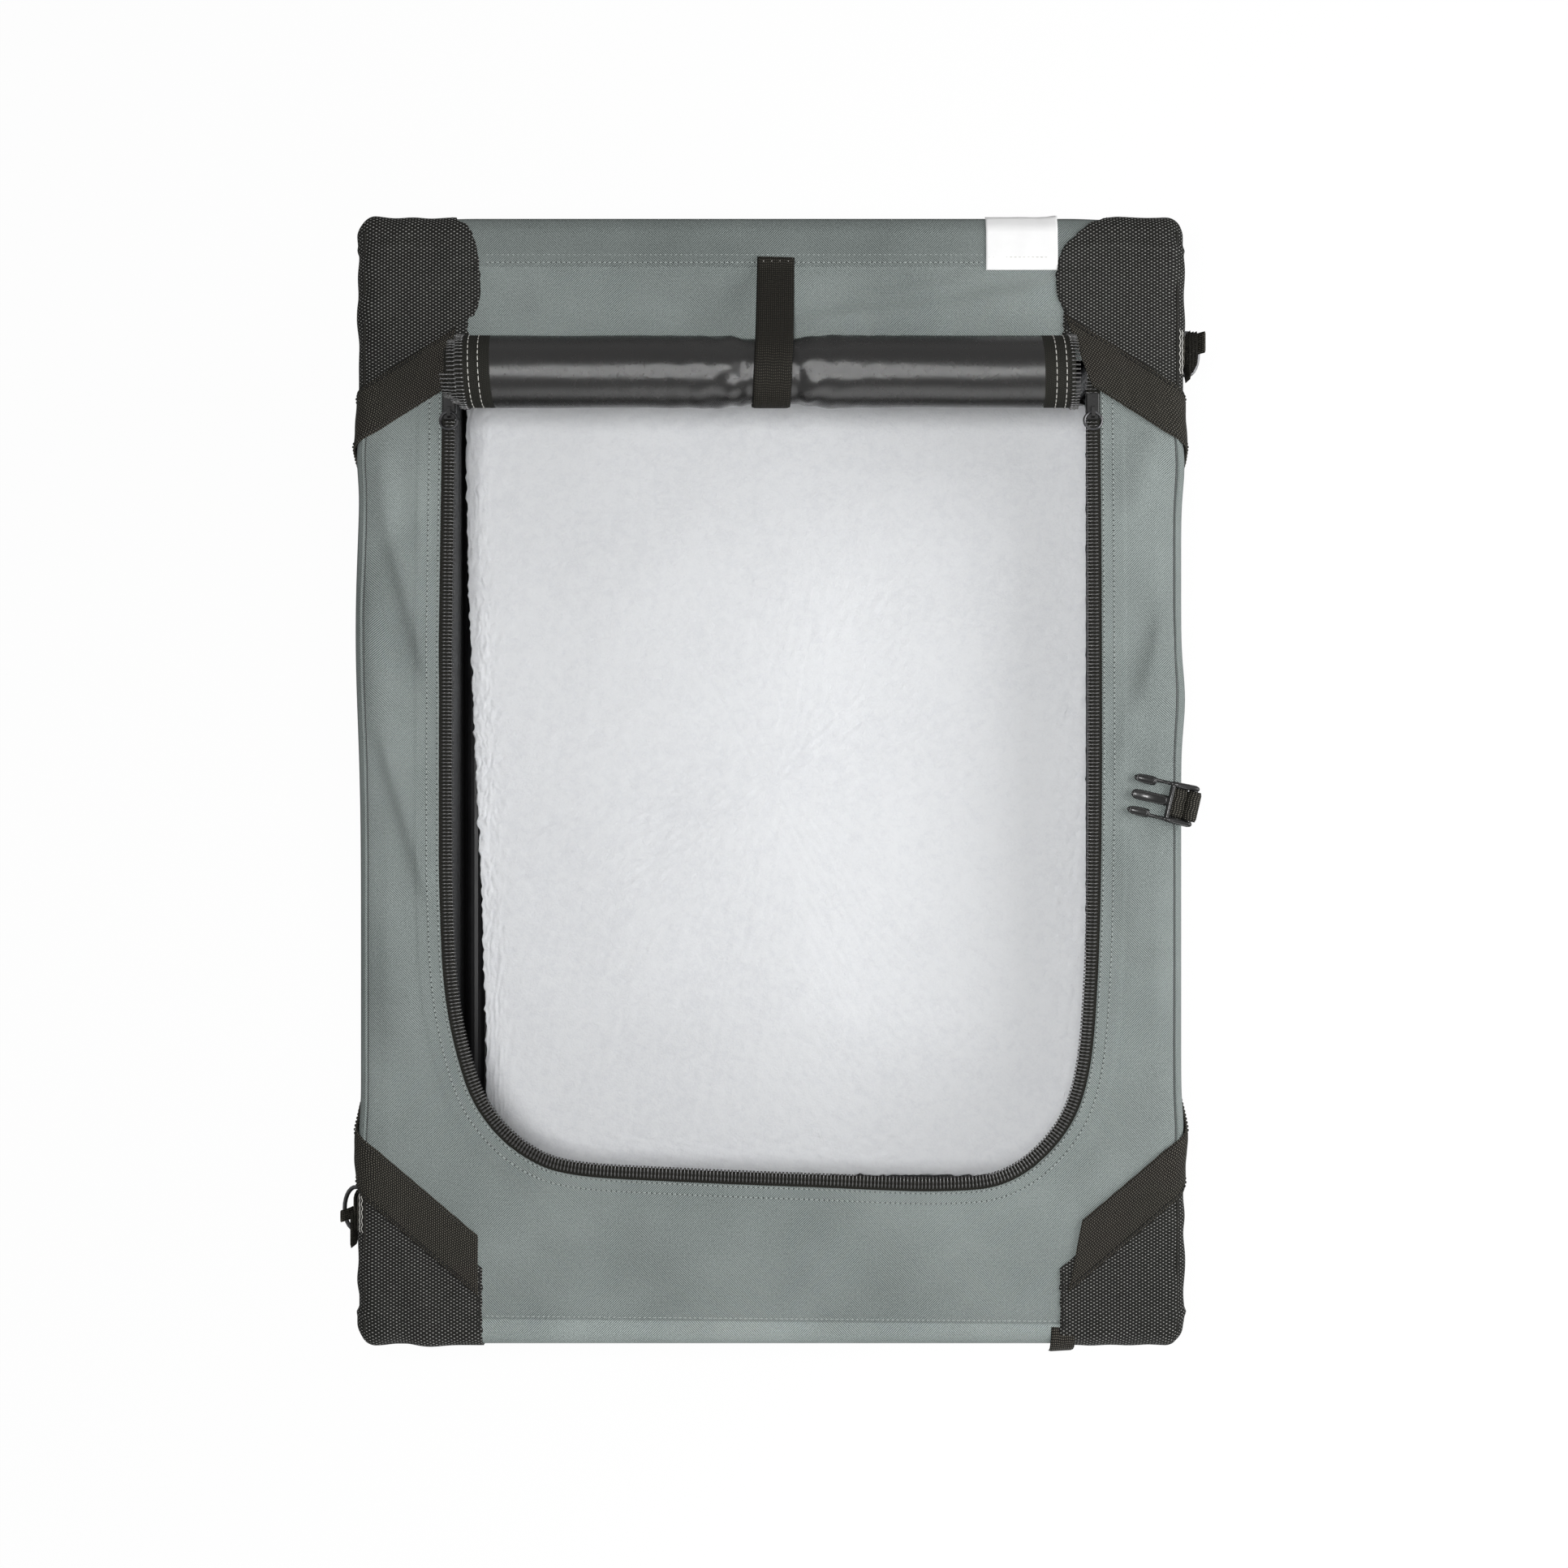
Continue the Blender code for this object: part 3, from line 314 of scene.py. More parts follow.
def tidy(mesh: bpy.types.Mesh, outwards: bool) -> None:
    """Merge the points of a mesh that coincide, and turn its faces outwards if asked.

    Args:
        mesh: to clean.
        outwards: whether to turn its faces outwards.
    """
    bm = bmesh.new()
    bm.from_mesh(mesh)
    bmesh.ops.remove_doubles(bm, verts=bm.verts, dist=0.000002)
    bmesh.ops.dissolve_degenerate(bm, edges=bm.edges, dist=0.000001)
    if outwards:
        bmesh.ops.recalc_face_normals(bm, faces=bm.faces)
    bm.to_mesh(mesh)
    bm.free()


def join(meshes: list[bpy.types.Mesh], name: str) -> bpy.types.Mesh:
    """Several meshes as one, with their weave maps kept.

    Args:
        meshes: which are used up.
        name: of the new mesh.

    Returns:
        The new mesh.
    """
    bm = bmesh.new()
    for mesh in meshes:
        bm.from_mesh(mesh)
        bpy.data.meshes.remove(mesh)
    made = bpy.data.meshes.new(name)
    bm.to_mesh(made)
    bm.free()
    made.shade_smooth()
    return made


def lengths(path: Array) -> Array:
    """How far along a path each of its points lies."""
    return np.concatenate([[0.0], np.cumsum(np.linalg.norm(np.diff(path, axis=0), axis=1))])


def resample(path: Array, count: int, closed: bool = False) -> Array:
    """A path with this many points at an even spacing, by linear interpolation on its length.

    Args:
        path: n by 2 or 3.
        count: points wanted.
        closed: whether the path closes on itself.

    Returns:
        The new path.
    """
    if closed:
        path = np.vstack([path, path[:1]])
    length = lengths(path)
    wanted = np.linspace(0.0, length[-1], count + int(closed))
    made = np.stack([np.interp(wanted, length, path[:, k]) for k in range(path.shape[1])], 1)
    return made[:-1] if closed else made


def spaced(path: Array, pitch: float, closed: bool = False) -> Array:
    """A path with its points at an even spacing near this pitch."""
    whole = lengths(np.vstack([path, path[:1]]) if closed else path)[-1]
    return resample(path, max(2, round(whole / pitch) + 1) - int(closed), closed)


def stages(*spans: tuple[float, float, int]) -> Array:
    """Evenly spaced numbers over one span after another, with the ends that they share once."""
    runs = [np.linspace(*span) for span in spans]
    return np.concatenate([runs[0], *(run[1:] for run in runs[1:])])


def between(first: Array, last: Array, share: Array) -> Array:
    """Rows of places from one outline to another, each this share of the way."""
    share = share[:, None, None]
    return first[None] * (1 - share) + last[None] * share


def pairs(across: Array, along: Array) -> Array:
    """A weave map from its columns' and its rows' places, given as arrays that broadcast."""
    return np.stack(np.broadcast_arrays(across, along), -1)


def smooth_path(controls: tuple[tuple[float, ...], ...], steps: int = 12) -> Array:
    """A Catmull-Rom curve: between two controls, a cubic whose ends slope as their neighbours lie.

    Args:
        controls: points that the curve passes.
        steps: points for each control.

    Returns:
        The curve's points.
    """
    p = np.array(controls, float)
    p = np.vstack([2 * p[0] - p[1], p, 2 * p[-1] - p[-2]])
    t = np.linspace(0.0, 1.0, steps, endpoint=False)[:, None, None]
    a, b, c, d = p[:-3], p[1:-2], p[2:-1], p[3:]
    curve = 0.5 * (2 * b + (c - a) * t + (2 * a - 5 * b + 4 * c - d) * t**2
                   + (3 * b - a - 3 * c + d) * t**3)
    return np.vstack([curve.transpose(1, 0, 2).reshape(-1, p.shape[1]), p[-2]])


def unit(vectors: Array) -> Array:
    """Vectors made one long."""
    return vectors / np.maximum(np.linalg.norm(vectors, axis=-1, keepdims=True), 1e-12)


def tangents(path: Array) -> Array:
    """Directions along a path, by central differences."""
    return unit(np.gradient(path, axis=0))


def offset_path(path: Array, distance: float) -> Array:
    """A flat path moved to its left by a distance."""
    along = tangents(path)
    return path + distance * np.stack([-along[:, 1], along[:, 0]], 1)


def bumps(points: Array, seed: int, shortest: float, longest: float, waves: int = 14) -> Array:
    """Soft random relief from about -1 to 1: the mean of plane waves with seeded directions.

    Args:
        points: where, any shape by 2 or 3.
        seed: of the waves.
        shortest: wavelength.
        longest: wavelength.
        waves: how many.

    Returns:
        The relief at each point.
    """
    rng = np.random.default_rng(seed)
    length = np.exp(rng.uniform(math.log(shortest), math.log(longest), waves))
    way = unit(rng.normal(size=(waves, points.shape[-1])))
    phase = rng.uniform(0.0, 2 * math.pi, waves)
    each = np.sin(points @ (way * (2 * math.pi / length[:, None])).T + phase)
    return each.sum(-1) / math.sqrt(waves)


def ease(value: Array, low: float, high: float) -> Array:
    """A smooth step from 0 at low to 1 at high."""
    t = np.clip((value - low) / (high - low), 0.0, 1.0)
    return t * t * (3 - 2 * t)


def rounded_loop(low: Point, high: Point, radius: float, steps: int = 10) -> Array:
    """A closed outline with round corners, from its low corner to its high one.

    Args:
        low: its lowest corner.
        high: its highest corner.
        radius: of its corners.
        steps: points in each corner.

    Returns:
        The points, counterclockwise, starting at the right side's foot.
    """
    turn = np.linspace(0.0, math.pi / 2, steps)
    corners = ((high[0], low[1], -90, -1, 1), (high[0], high[1], 0, -1, -1),
               (low[0], high[1], 90, 1, -1), (low[0], low[1], 180, 1, 1))
    made = []
    for x, y, start, sx, sy in corners:
        angle = turn + math.radians(start)
        made.append(np.stack([x + sx * radius + radius * np.cos(angle),
                              y + sy * radius + radius * np.sin(angle)], 1))
    return np.vstack(made)


@dataclass(frozen=True)
class Tiny:
    """A small closed shape along X, swept from stations: how far, how wide, how high and its height."""
    stations: tuple[tuple[float, float, float, float], ...]
    sides: int = 6

    def build(self) -> tuple[Array, list]:
        """The points and faces. A ring at each station is an ellipse square to X.

        Returns:
            The points, and each face's points by number.
        """
        along, wide, high, rise = np.array(self.stations, float).T
        angle = np.linspace(0.0, 2 * math.pi, self.sides, endpoint=False)
        rings = np.stack([
            np.repeat(along[:, None], self.sides, 1),
            wide[:, None] / 2 * np.cos(angle),
            rise[:, None] + high[:, None] / 2 * np.sin(angle),
        ], -1)
        faces = grid_faces(len(along), self.sides, True).tolist()
        last = (len(along) - 1) * self.sides
        faces += [list(range(self.sides)), list(range(last, last + self.sides))[::-1]]
        return rings.reshape(-1, 3), faces

    def repeat(self, name: str, centres: Array, along: Array, up: Array) -> bpy.types.Mesh:
        """One mesh of this shape at many places.

        A point goes to centre + x * along + y * (up x along) + z * up.

        Args:
            name: the mesh's name.
            centres: places, n by 3.
            along: where the shape's X points, n by 3.
            up: where its Z points, n by 3.

        Returns:
            The mesh.
        """
        points, faces = self.build()
        along, up = unit(along), unit(up)
        across = unit(np.cross(up, along))
        frames = np.stack([along, across, np.cross(along, across)], 1)
        placed = centres[:, None, :] + points @ frames
        mesh = bpy.data.meshes.new(name)
        shifts = range(0, len(centres) * len(points), len(points))
        every = [[i + shift for i in face] for shift in shifts for face in faces]
        mesh.from_pydata(placed.reshape(-1, 3).tolist(), [], every)
        mesh.shade_smooth()
        return mesh


def stitch(length: float, thick: float) -> Tiny:
    """One stitch of thread, lying half sunk in the cloth.

    Args:
        length: of the stitch.
        thick: of its thread.

    Returns:
        Its shape.
    """
    half = length / 2
    return Tiny(((-half, thick * 0.4, thick * 0.4, -thick * 0.5), (-half * 0.7, thick, thick, 0.0),
                 (0.0, thick * 1.1, thick * 1.1, thick * 0.15), (half * 0.7, thick, thick, 0.0),
                 (half, thick * 0.4, thick * 0.4, -thick * 0.5)))


def capped(rings: Array) -> Array:
    """Rings with their middle before the first and after the last, which closes the ends."""
    middles = np.repeat(rings[[0, -1]].mean(1, keepdims=True), rings.shape[1], 1)
    return np.concatenate([middles[:1], rings, middles[1:]])


def tube(name: str, path: Array, radius: float, sides: int = 8, closed: bool = False) -> bpy.types.Mesh:
    """A round cord along a path: each ring lies square to it, carried along without twist.

    Args:
        name: the mesh's name.
        path: the centreline, n by 3.
        radius: of the cord.
        sides: faces around it.
        closed: whether the path closes on itself.

    Returns:
        The mesh, with a weave map along and around.
    """
    along = tangents(np.vstack([path[-1:], path, path[:1]]))[1:-1] if closed else tangents(path)
    steady = ALONG_Z if abs(along[:, 2]).max() < 0.9 else np.array([0.3, 0.9, 0.1])
    side = unit(np.cross(along, steady))
    up = np.cross(side, along)
    angle = np.linspace(0.0, 2 * math.pi, sides, endpoint=False)
    ring = np.cos(angle)[:, None, None] * side + np.sin(angle)[:, None, None] * up
    points = path[:, None, :] + radius * ring.transpose(1, 0, 2)
    weave = pairs(np.linspace(0.0, 2 * math.pi * radius, sides + 1)[None, :], lengths(path)[:, None])
    if closed:
        points, weave = np.concatenate([points, points[:1]]), np.concatenate([weave, weave[:1]])
    else:
        points, weave = capped(points), np.concatenate([weave[:1], weave, weave[-1:]])
    return grid_mesh(name, points, weave, True, merge=True)


def strip(name: str, path: Array, across: Array, width: float, thick: float, columns: int = 8,
          lean: Array | None = None) -> bpy.types.Mesh:
    """Webbing carried along a path: a flat rounded band, closed all round.

    Args:
        name: the mesh's name.
        path: its centreline, n by 3.
        across: the direction of its width, n by 3 or 3.
        width: of the webbing.
        thick: of the webbing.
        columns: faces across one side.
        lean: how far each row's ends are turned along the path at the two edges, n by 2.

    Returns:
        The closed mesh, its faces outwards.
    """
    along, across = tangents(path), np.broadcast_to(across, path.shape)
    across = unit(across - along * np.sum(across * along, 1, keepdims=True))
    up = np.cross(across, along)
    t = np.linspace(-1.0, 1.0, columns + 1)
    edge = np.sqrt(np.clip(1.0 - np.abs(t) ** 12, 0.0, 1.0)) * 0.5
    profile = np.vstack([np.stack([t, edge], 1), np.stack([t, -edge], 1)[::-1][1:-1]])
    points = (path[:, None, :] + across[:, None, :] * (profile[:, 0] * width / 2)[None, :, None]
              + up[:, None, :] * (profile[:, 1] * thick)[None, :, None])
    if lean is not None:
        share = (profile[:, 0] + 1) / 2
        points += along[:, None, :] * (lean[:, :1] * (1 - share) + lean[:, 1:] * share)[:, :, None]
    sideways = np.append(profile[:, 0], profile[0, 0]) * width / 2
    weave = pairs(sideways[None, :], lengths(path)[:, None])
    mesh = grid_mesh(name, capped(points), np.concatenate([weave[:1], weave, weave[-1:]]), True, merge=True)
    tidy(mesh, True)
    return mesh


def place(mesh: bpy.types.Mesh, finishes: "bpy.types.Material | list[bpy.types.Material]", body: str,
          replaced: tuple[str, ...] = ()) -> bpy.types.Object:
    """Put a finished mesh on a body.

    Args:
        mesh: in the carrier's own frame.
        finishes: its material, or several.
        body: the body it rides on.
        replaced: the model's nodes that it stands for.

    Returns:
        The object.
    """
    obj = bpy.data.objects.new(mesh.name, mesh)
    bpy.context.scene.collection.objects.link(obj)
    for finish in finishes if isinstance(finishes, list) else [finishes]:
        mesh.materials.append(finish)
    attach(obj, body)
    if replaced:
        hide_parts(*replaced)
    LOG.info("%s: %d faces on %s", obj.name, len(mesh.polygons), body)
    return obj


def thicken(obj: bpy.types.Object, thick: float, offset: float = -1.0, lining: int = 0) -> None:
    """Give a surface its cloth's thickness, with another material on the far side if asked.

    Args:
        obj: the surface.
        thick: of the cloth.
        offset: -1 for inside the surface.
        lining: how many materials on the far side's is.
    """
    shell = obj.modifiers.new("Cloth", "SOLIDIFY")
    shell.thickness, shell.offset, shell.use_even_offset = thick, offset, False
    shell.material_offset = lining


def softened(node: str, finish: bpy.types.Material, body: str, radius: float,
             name: str) -> bpy.types.Object:
    """A merged copy of a moulded node with its edges rounded, which stands for it.

    Args:
        node: the model's node.
        finish: its material.
        body: the body it rides on.
        radius: of its edges.
        name: of the piece.

    Returns:
        The object.
    """
    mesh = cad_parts[node].data.copy()
    mesh.name = name
    mesh.materials.clear()
    bm = bmesh.new()
    bm.from_mesh(mesh)
    bmesh.ops.remove_doubles(bm, verts=bm.verts, dist=0.00001)
    bmesh.ops.dissolve_limit(bm, angle_limit=math.radians(4), verts=bm.verts, edges=bm.edges)
    bm.to_mesh(mesh)
    bm.free()
    obj = place(mesh, finish, body, (node,))
    bevel = obj.modifiers.new("Soft edges", "BEVEL")
    bevel.width, bevel.segments, bevel.limit_method = radius, 2, "ANGLE"
    bevel.angle_limit = math.radians(30)
    mesh.shade_smooth()
    mesh.set_sharp_from_angle(angle=math.radians(45))
    return obj


# Finishes


@dataclass(frozen=True)
class Twill:
    """Woven polyester with fine diagonal ribs, light yarn over dark."""
    name: str
    light: Colour
    dark: Colour
    # places of the roof's end seams: painted shade darkens the rear strip, painted light brightens the front
    # strip
    bands: tuple[float, ...] = ()
    pitch: float = 0.00112
    roughness: float = 0.82

    def material(self) -> bpy.types.Material:
        """Waves at 45 degrees both ways, of which now one and now the other shows, with slubs and dye.

        Past the roof's end seams, at the given band places, the colour is made darker behind, as painted
        shade for the rear strip that slopes away from the light, and lighter in front, as painted light for
        the front strip that faces it.

        Returns:
            The material.
        """
        n = Nodes.material(self.name)
        u, v, vector = n.cloth()
        rib = (v + u).sine(self.pitch * 1.414)
        yarn = (v - u).sine(self.pitch * 1.414)
        sway = n.noise(vector, 16.0, 3.0).step(0.4, 0.6)
        thread = (rib * sway + yarn * (1 - sway)) * 0.38 + (rib * yarn) * 0.12 + 0.5
        slub = n.noise(vector, 700.0, 2.0)
        cloud = n.noise(vector, 9.0, 3.0)
        tone = (thread * 0.78 + slub * 0.34 + cloud * 0.36 - 0.2).step(0.05, 0.95)
        colour = n.mix(tone, self.dark, self.light)
        # Painted shade on the rear strip and painted light on the front strip, for how they slope from the
        # light.
        if self.bands:
            rear = v.step(self.bands[0] - 0.0004, self.bands[0] + 0.0004)
            front = (v + u * self.bands[2]).step(self.bands[1] + 0.0004, self.bands[1] - 0.0004)
            colour = n.mix(rear, colour, n.tint(colour, 0.8))
            colour = n.mix(front, colour, n.tint(colour, 1.3))
        return n.surface(colour, self.roughness, thread * 0.8 + slub * 0.2, 0.0003, shine=0.12)


@dataclass(frozen=True)
class Ballistic:
    """Coarse woven patch cloth: staggered bright floats on black."""
    name: str
    across: float = 0.00202
    along: float = 0.00232

    def material(self) -> bpy.types.Material:
        """The floats peak where two slow cosines agree in sign, which staggers them.

        Returns:
            The material.
        """
        n = Nodes.material(self.name)
        u, v, vector = n.cloth()
        floats = (u + self.across / 2).sine(self.across * 2) * (v + self.along / 4).sine(self.along)
        uneven = n.noise(vector, 350.0, 2.0)
        mask = (floats * 0.85 + uneven * 0.5).step(0.54, 1.08)
        dye = n.noise(vector, 14.0, 2.0)
        dark = n.mix(dye, (0.004, 0.004, 0.0035), (0.009, 0.009, 0.008))
        return n.surface(n.mix(mask, dark, (0.25, 0.25, 0.238)), 0.7, mask, 0.0005, shine=0.1)


@dataclass(frozen=True)
class Webbing:
    """Heavy woven tape: rows of small floats in a herringbone, with plain selvedges."""
    name: str
    light: Colour = (0.115, 0.108, 0.09)
    dark: Colour = (0.0035, 0.0032, 0.0025)
    pitch: float = 0.0018
    zigzag: float = 0.15

    def material(self) -> bpy.types.Material:
        """Each rib is a wave along the tape whose phase shifts across it, back and forth.

        Returns:
            The material.
        """
        n = Nodes.material(self.name)
        u, v, vector = n.cloth()
        fold = u.math("PINGPONG", 0.0042) * self.zigzag
        rib = (v + fold).sine(self.pitch) * 0.5 + 0.5
        warp = u.sine(self.pitch * 0.72) * 0.5 + 0.5
        fuzz = n.noise(vector, 900.0, 2.0)
        mask = (rib * warp + fuzz * 0.45 - 0.2).step(0.28, 0.95)
        worn = n.noise(vector, 60.0, 3.0)
        dark = n.mix(worn, self.dark, shaded(self.dark, 2.2))
        return n.surface(n.mix(mask, dark, self.light), 0.76, rib * warp, 0.00035, shine=0.1)


@dataclass(frozen=True)
class Coated:
    """Coated cloth with its weave pressing through the gloss."""
    name: str
    colour: Colour = (0.0042, 0.004, 0.0038)
    roughness: float = 0.26
    pitch: float = 0.0007

    def material(self) -> bpy.types.Material:
        """A plain weave: warp and weft waves multiplied, under a coat that breaks up where it creases.

        Returns:
            The material.
        """
        n = Nodes.material(self.name)
        u, v, vector = n.cloth()
        weave = u.sine(self.pitch * 2) * v.sine(self.pitch * 2) * 0.5 + 0.5
        slub = n.noise(vector, 240.0, 3.0)
        scuff = n.noise(vector, 26.0, 4.0, 0.62)
        colour = n.mix(scuff, self.colour, shaded(self.colour, 1.7))
        rough = slub * 0.16 + scuff * 0.06 + (self.roughness - 0.11)
        return n.surface(colour, rough, weave * 0.9 + slub * 0.1, 0.0001, shine=0.34)


@dataclass(frozen=True)
class Mesh:
    """Knitted window mesh: a net of fine black yarn with open holes."""
    name: str
    hole: float = 0.0021

    def material(self) -> bpy.types.Material:
        """The holes open where two staggered waves sink together.

        Returns:
            The material.
        """
        n = Nodes.material(self.name)
        u, v, vector = n.cloth()
        net = (u + self.hole / 4).sine(self.hole * 2) * v.sine(self.hole * 1.6)
        open_share = net.size().step(0.34, 0.52)
        yarn = n.noise(vector, 1500.0, 2.0)
        colour = n.mix(yarn, (0.01, 0.01, 0.01), (0.035, 0.035, 0.034))
        return n.surface(colour, 0.7, 1 - net.size(), 0.0003, shine=0.15, Alpha=1 - open_share)


@dataclass(frozen=True)
class Fleece:
    """Short curly pile, white, with painted blue-grey shade in its hollows."""
    name: str

    def material(self) -> bpy.types.Material:
        """Curls are warped noise at two scales. Where the curls are low the colour is a little darker and
        cooler, which is painted shade in the hollows, and it also varies at random in broad clouds.

        Returns:
            The material.
        """
        n = Nodes.material(self.name)
        spot = n.place()
        curl = n.noise(spot, 260.0, 3.0, 0.6, 1.6)
        tuft = n.noise(spot, 95.0, 2.0, 0.5, 0.8)
        cloud = n.noise(spot, 7.0, 3.0)
        height = curl * 0.55 + tuft * 0.45
        # Darker and cooler where the curls are low: painted shade in the hollows.
        tone = (height + cloud * 0.3 - 0.15).step(0.25, 0.62)
        colour = n.mix(tone, (0.85, 0.865, 0.895), (0.92, 0.935, 0.955))
        return n.surface(colour, 0.95, height, 0.001, shine=0.05)


@dataclass(frozen=True)
class Satin:
    """Smooth woven tape, as on a blank label."""
    name: str
    colour: Colour

    def material(self) -> bpy.types.Material:
        """Fine cross ribs and a faint soiling.

        Returns:
            The material.
        """
        n = Nodes.material(self.name)
        _, v, vector = n.cloth()
        soil = n.noise(vector, 60.0, 3.0)
        rib = v.sine(0.0006) * 0.5 + 0.5
        colour = n.mix(soil, shaded(self.colour, 0.9), self.colour)
        return n.surface(colour, 0.5, rib, 0.00008, shine=0.35)


@dataclass(frozen=True)
class Moulded:
    """Moulded or extruded plastic and painted wire, told apart by their gloss."""
    name: str
    colour: Colour
    roughness: float
    metallic: float = 0.0
    grain: float = 900.0
    depth: float = 0.00005
    shine: float = 0.3

    def material(self) -> bpy.types.Material:
        """A fine spark grain, with handling wear that dulls the gloss in patches.

        Returns:
            The material.
        """
        n = Nodes.material(self.name)
        spot = n.place()
        spark = n.noise(spot, self.grain, 2.0)
        wear = n.noise(spot, 40.0, 4.0, 0.6)
        colour = n.mix(wear.step(0.35, 0.75), self.colour, shaded(self.colour, 1.6))
        rough = wear * 0.2 + spark * 0.08 + (self.roughness - 0.12)
        return n.surface(colour, rough, spark, self.depth, self.shine, Metallic=self.metallic)


@dataclass(frozen=True)
class Thread:
    """Sewing thread, spun tight."""
    name: str
    colour: Colour

    def material(self) -> bpy.types.Material:
        """Two plies that catch light unevenly.

        Returns:
            The material.
        """
        n = Nodes.material(self.name)
        ply = n.noise(n.place(), 2600.0, 2.0)
        colour = n.mix(ply, shaded(self.colour, 0.6), self.colour)
        return n.surface(colour, 0.6, ply, 0.00008, shine=0.15)


class Finishes:
    """Every finish of the carrier, made once."""

    def __init__(self) -> None:
        """Build the materials."""
        grey = (0.252, 0.283, 0.274), (0.024, 0.031, 0.03)
        self.grey = Twill("grey_twill", *grey).material()
        # The roof's cloth has painted shade on its rear strip and painted light on its front strip.
        self.roof_grey = Twill("grey_roof_twill", *grey, (0.3446, -0.36225, 0.00921)).material()
        self.lining = Coated("black_lining", (0.0075, 0.0075, 0.008), 0.5).material()
        self.coated = Coated("black_coated_cloth").material()
        self.patch = Ballistic("black_patch_weave").material()
        self.webbing = Webbing("black_webbing_weave").material()
        # A darker copy of the webbing for the roll strap: painted shade, as the strap lies in shadow.
        self.strap = Webbing("black_strap_weave", (0.046, 0.043, 0.035)).material()
        self.binding = Webbing("black_binding", (0.05, 0.048, 0.044), (0.008, 0.008, 0.007),
                               0.0012).material()
        self.tape = Webbing("black_zip_tape", (0.035, 0.034, 0.03), (0.005, 0.005, 0.004), 0.0013,
                            zigzag=1.0).material()
        self.net = Mesh("black_window_net").material()
        self.fleece = Fleece("white_curly_fleece").material()
        self.label = Satin("white_label_satin", (0.66, 0.66, 0.66)).material()
        self.coil = Moulded("black_zip_coil", (0.005, 0.0045, 0.004), 0.32, shine=0.8).material()
        self.plastic = Moulded("black_moulded_plastic", (0.007, 0.007, 0.007), 0.24, shine=0.26).material()
        self.tubing = Moulded("black_extruded_tube", (0.01, 0.01, 0.011), 0.42).material()
        self.steel = Moulded("black_nickel_wire", (0.05, 0.05, 0.052), 0.25, 0.9).material()
        self.grey_thread = Thread("grey_thread", (0.3, 0.33, 0.32)).material()
        # Painted shade for the needle's holes, on small dark dimples between the stitches.
        self.shade_thread = Thread("needle_hole_shade", (0.045, 0.05, 0.049)).material()
        self.black_thread = Thread("black_thread", (0.012, 0.012, 0.011)).material()
        self.pale_thread = Thread("pale_thread", (0.5, 0.49, 0.46)).material()


LOOK = Finishes()


# The cover


PITCH = 0.0034
ZIP_PITCH = 0.00245
PRICK = Tiny(((-0.0005, 0.0004, 0.0003, 0.0), (-0.0003, 0.0009, 0.0004, 0.0001),
              (0.0003, 0.0009, 0.0004, 0.0001), (0.0005, 0.0004, 0.0003, 0.0)))


@dataclass(frozen=True)
class Fold:
    """A soft ridge in stretched cloth from one place on the roof to another, steeper on one side."""
    start: Point
    end: Point
    wide: float
    high: float
    tail: float = 0.0


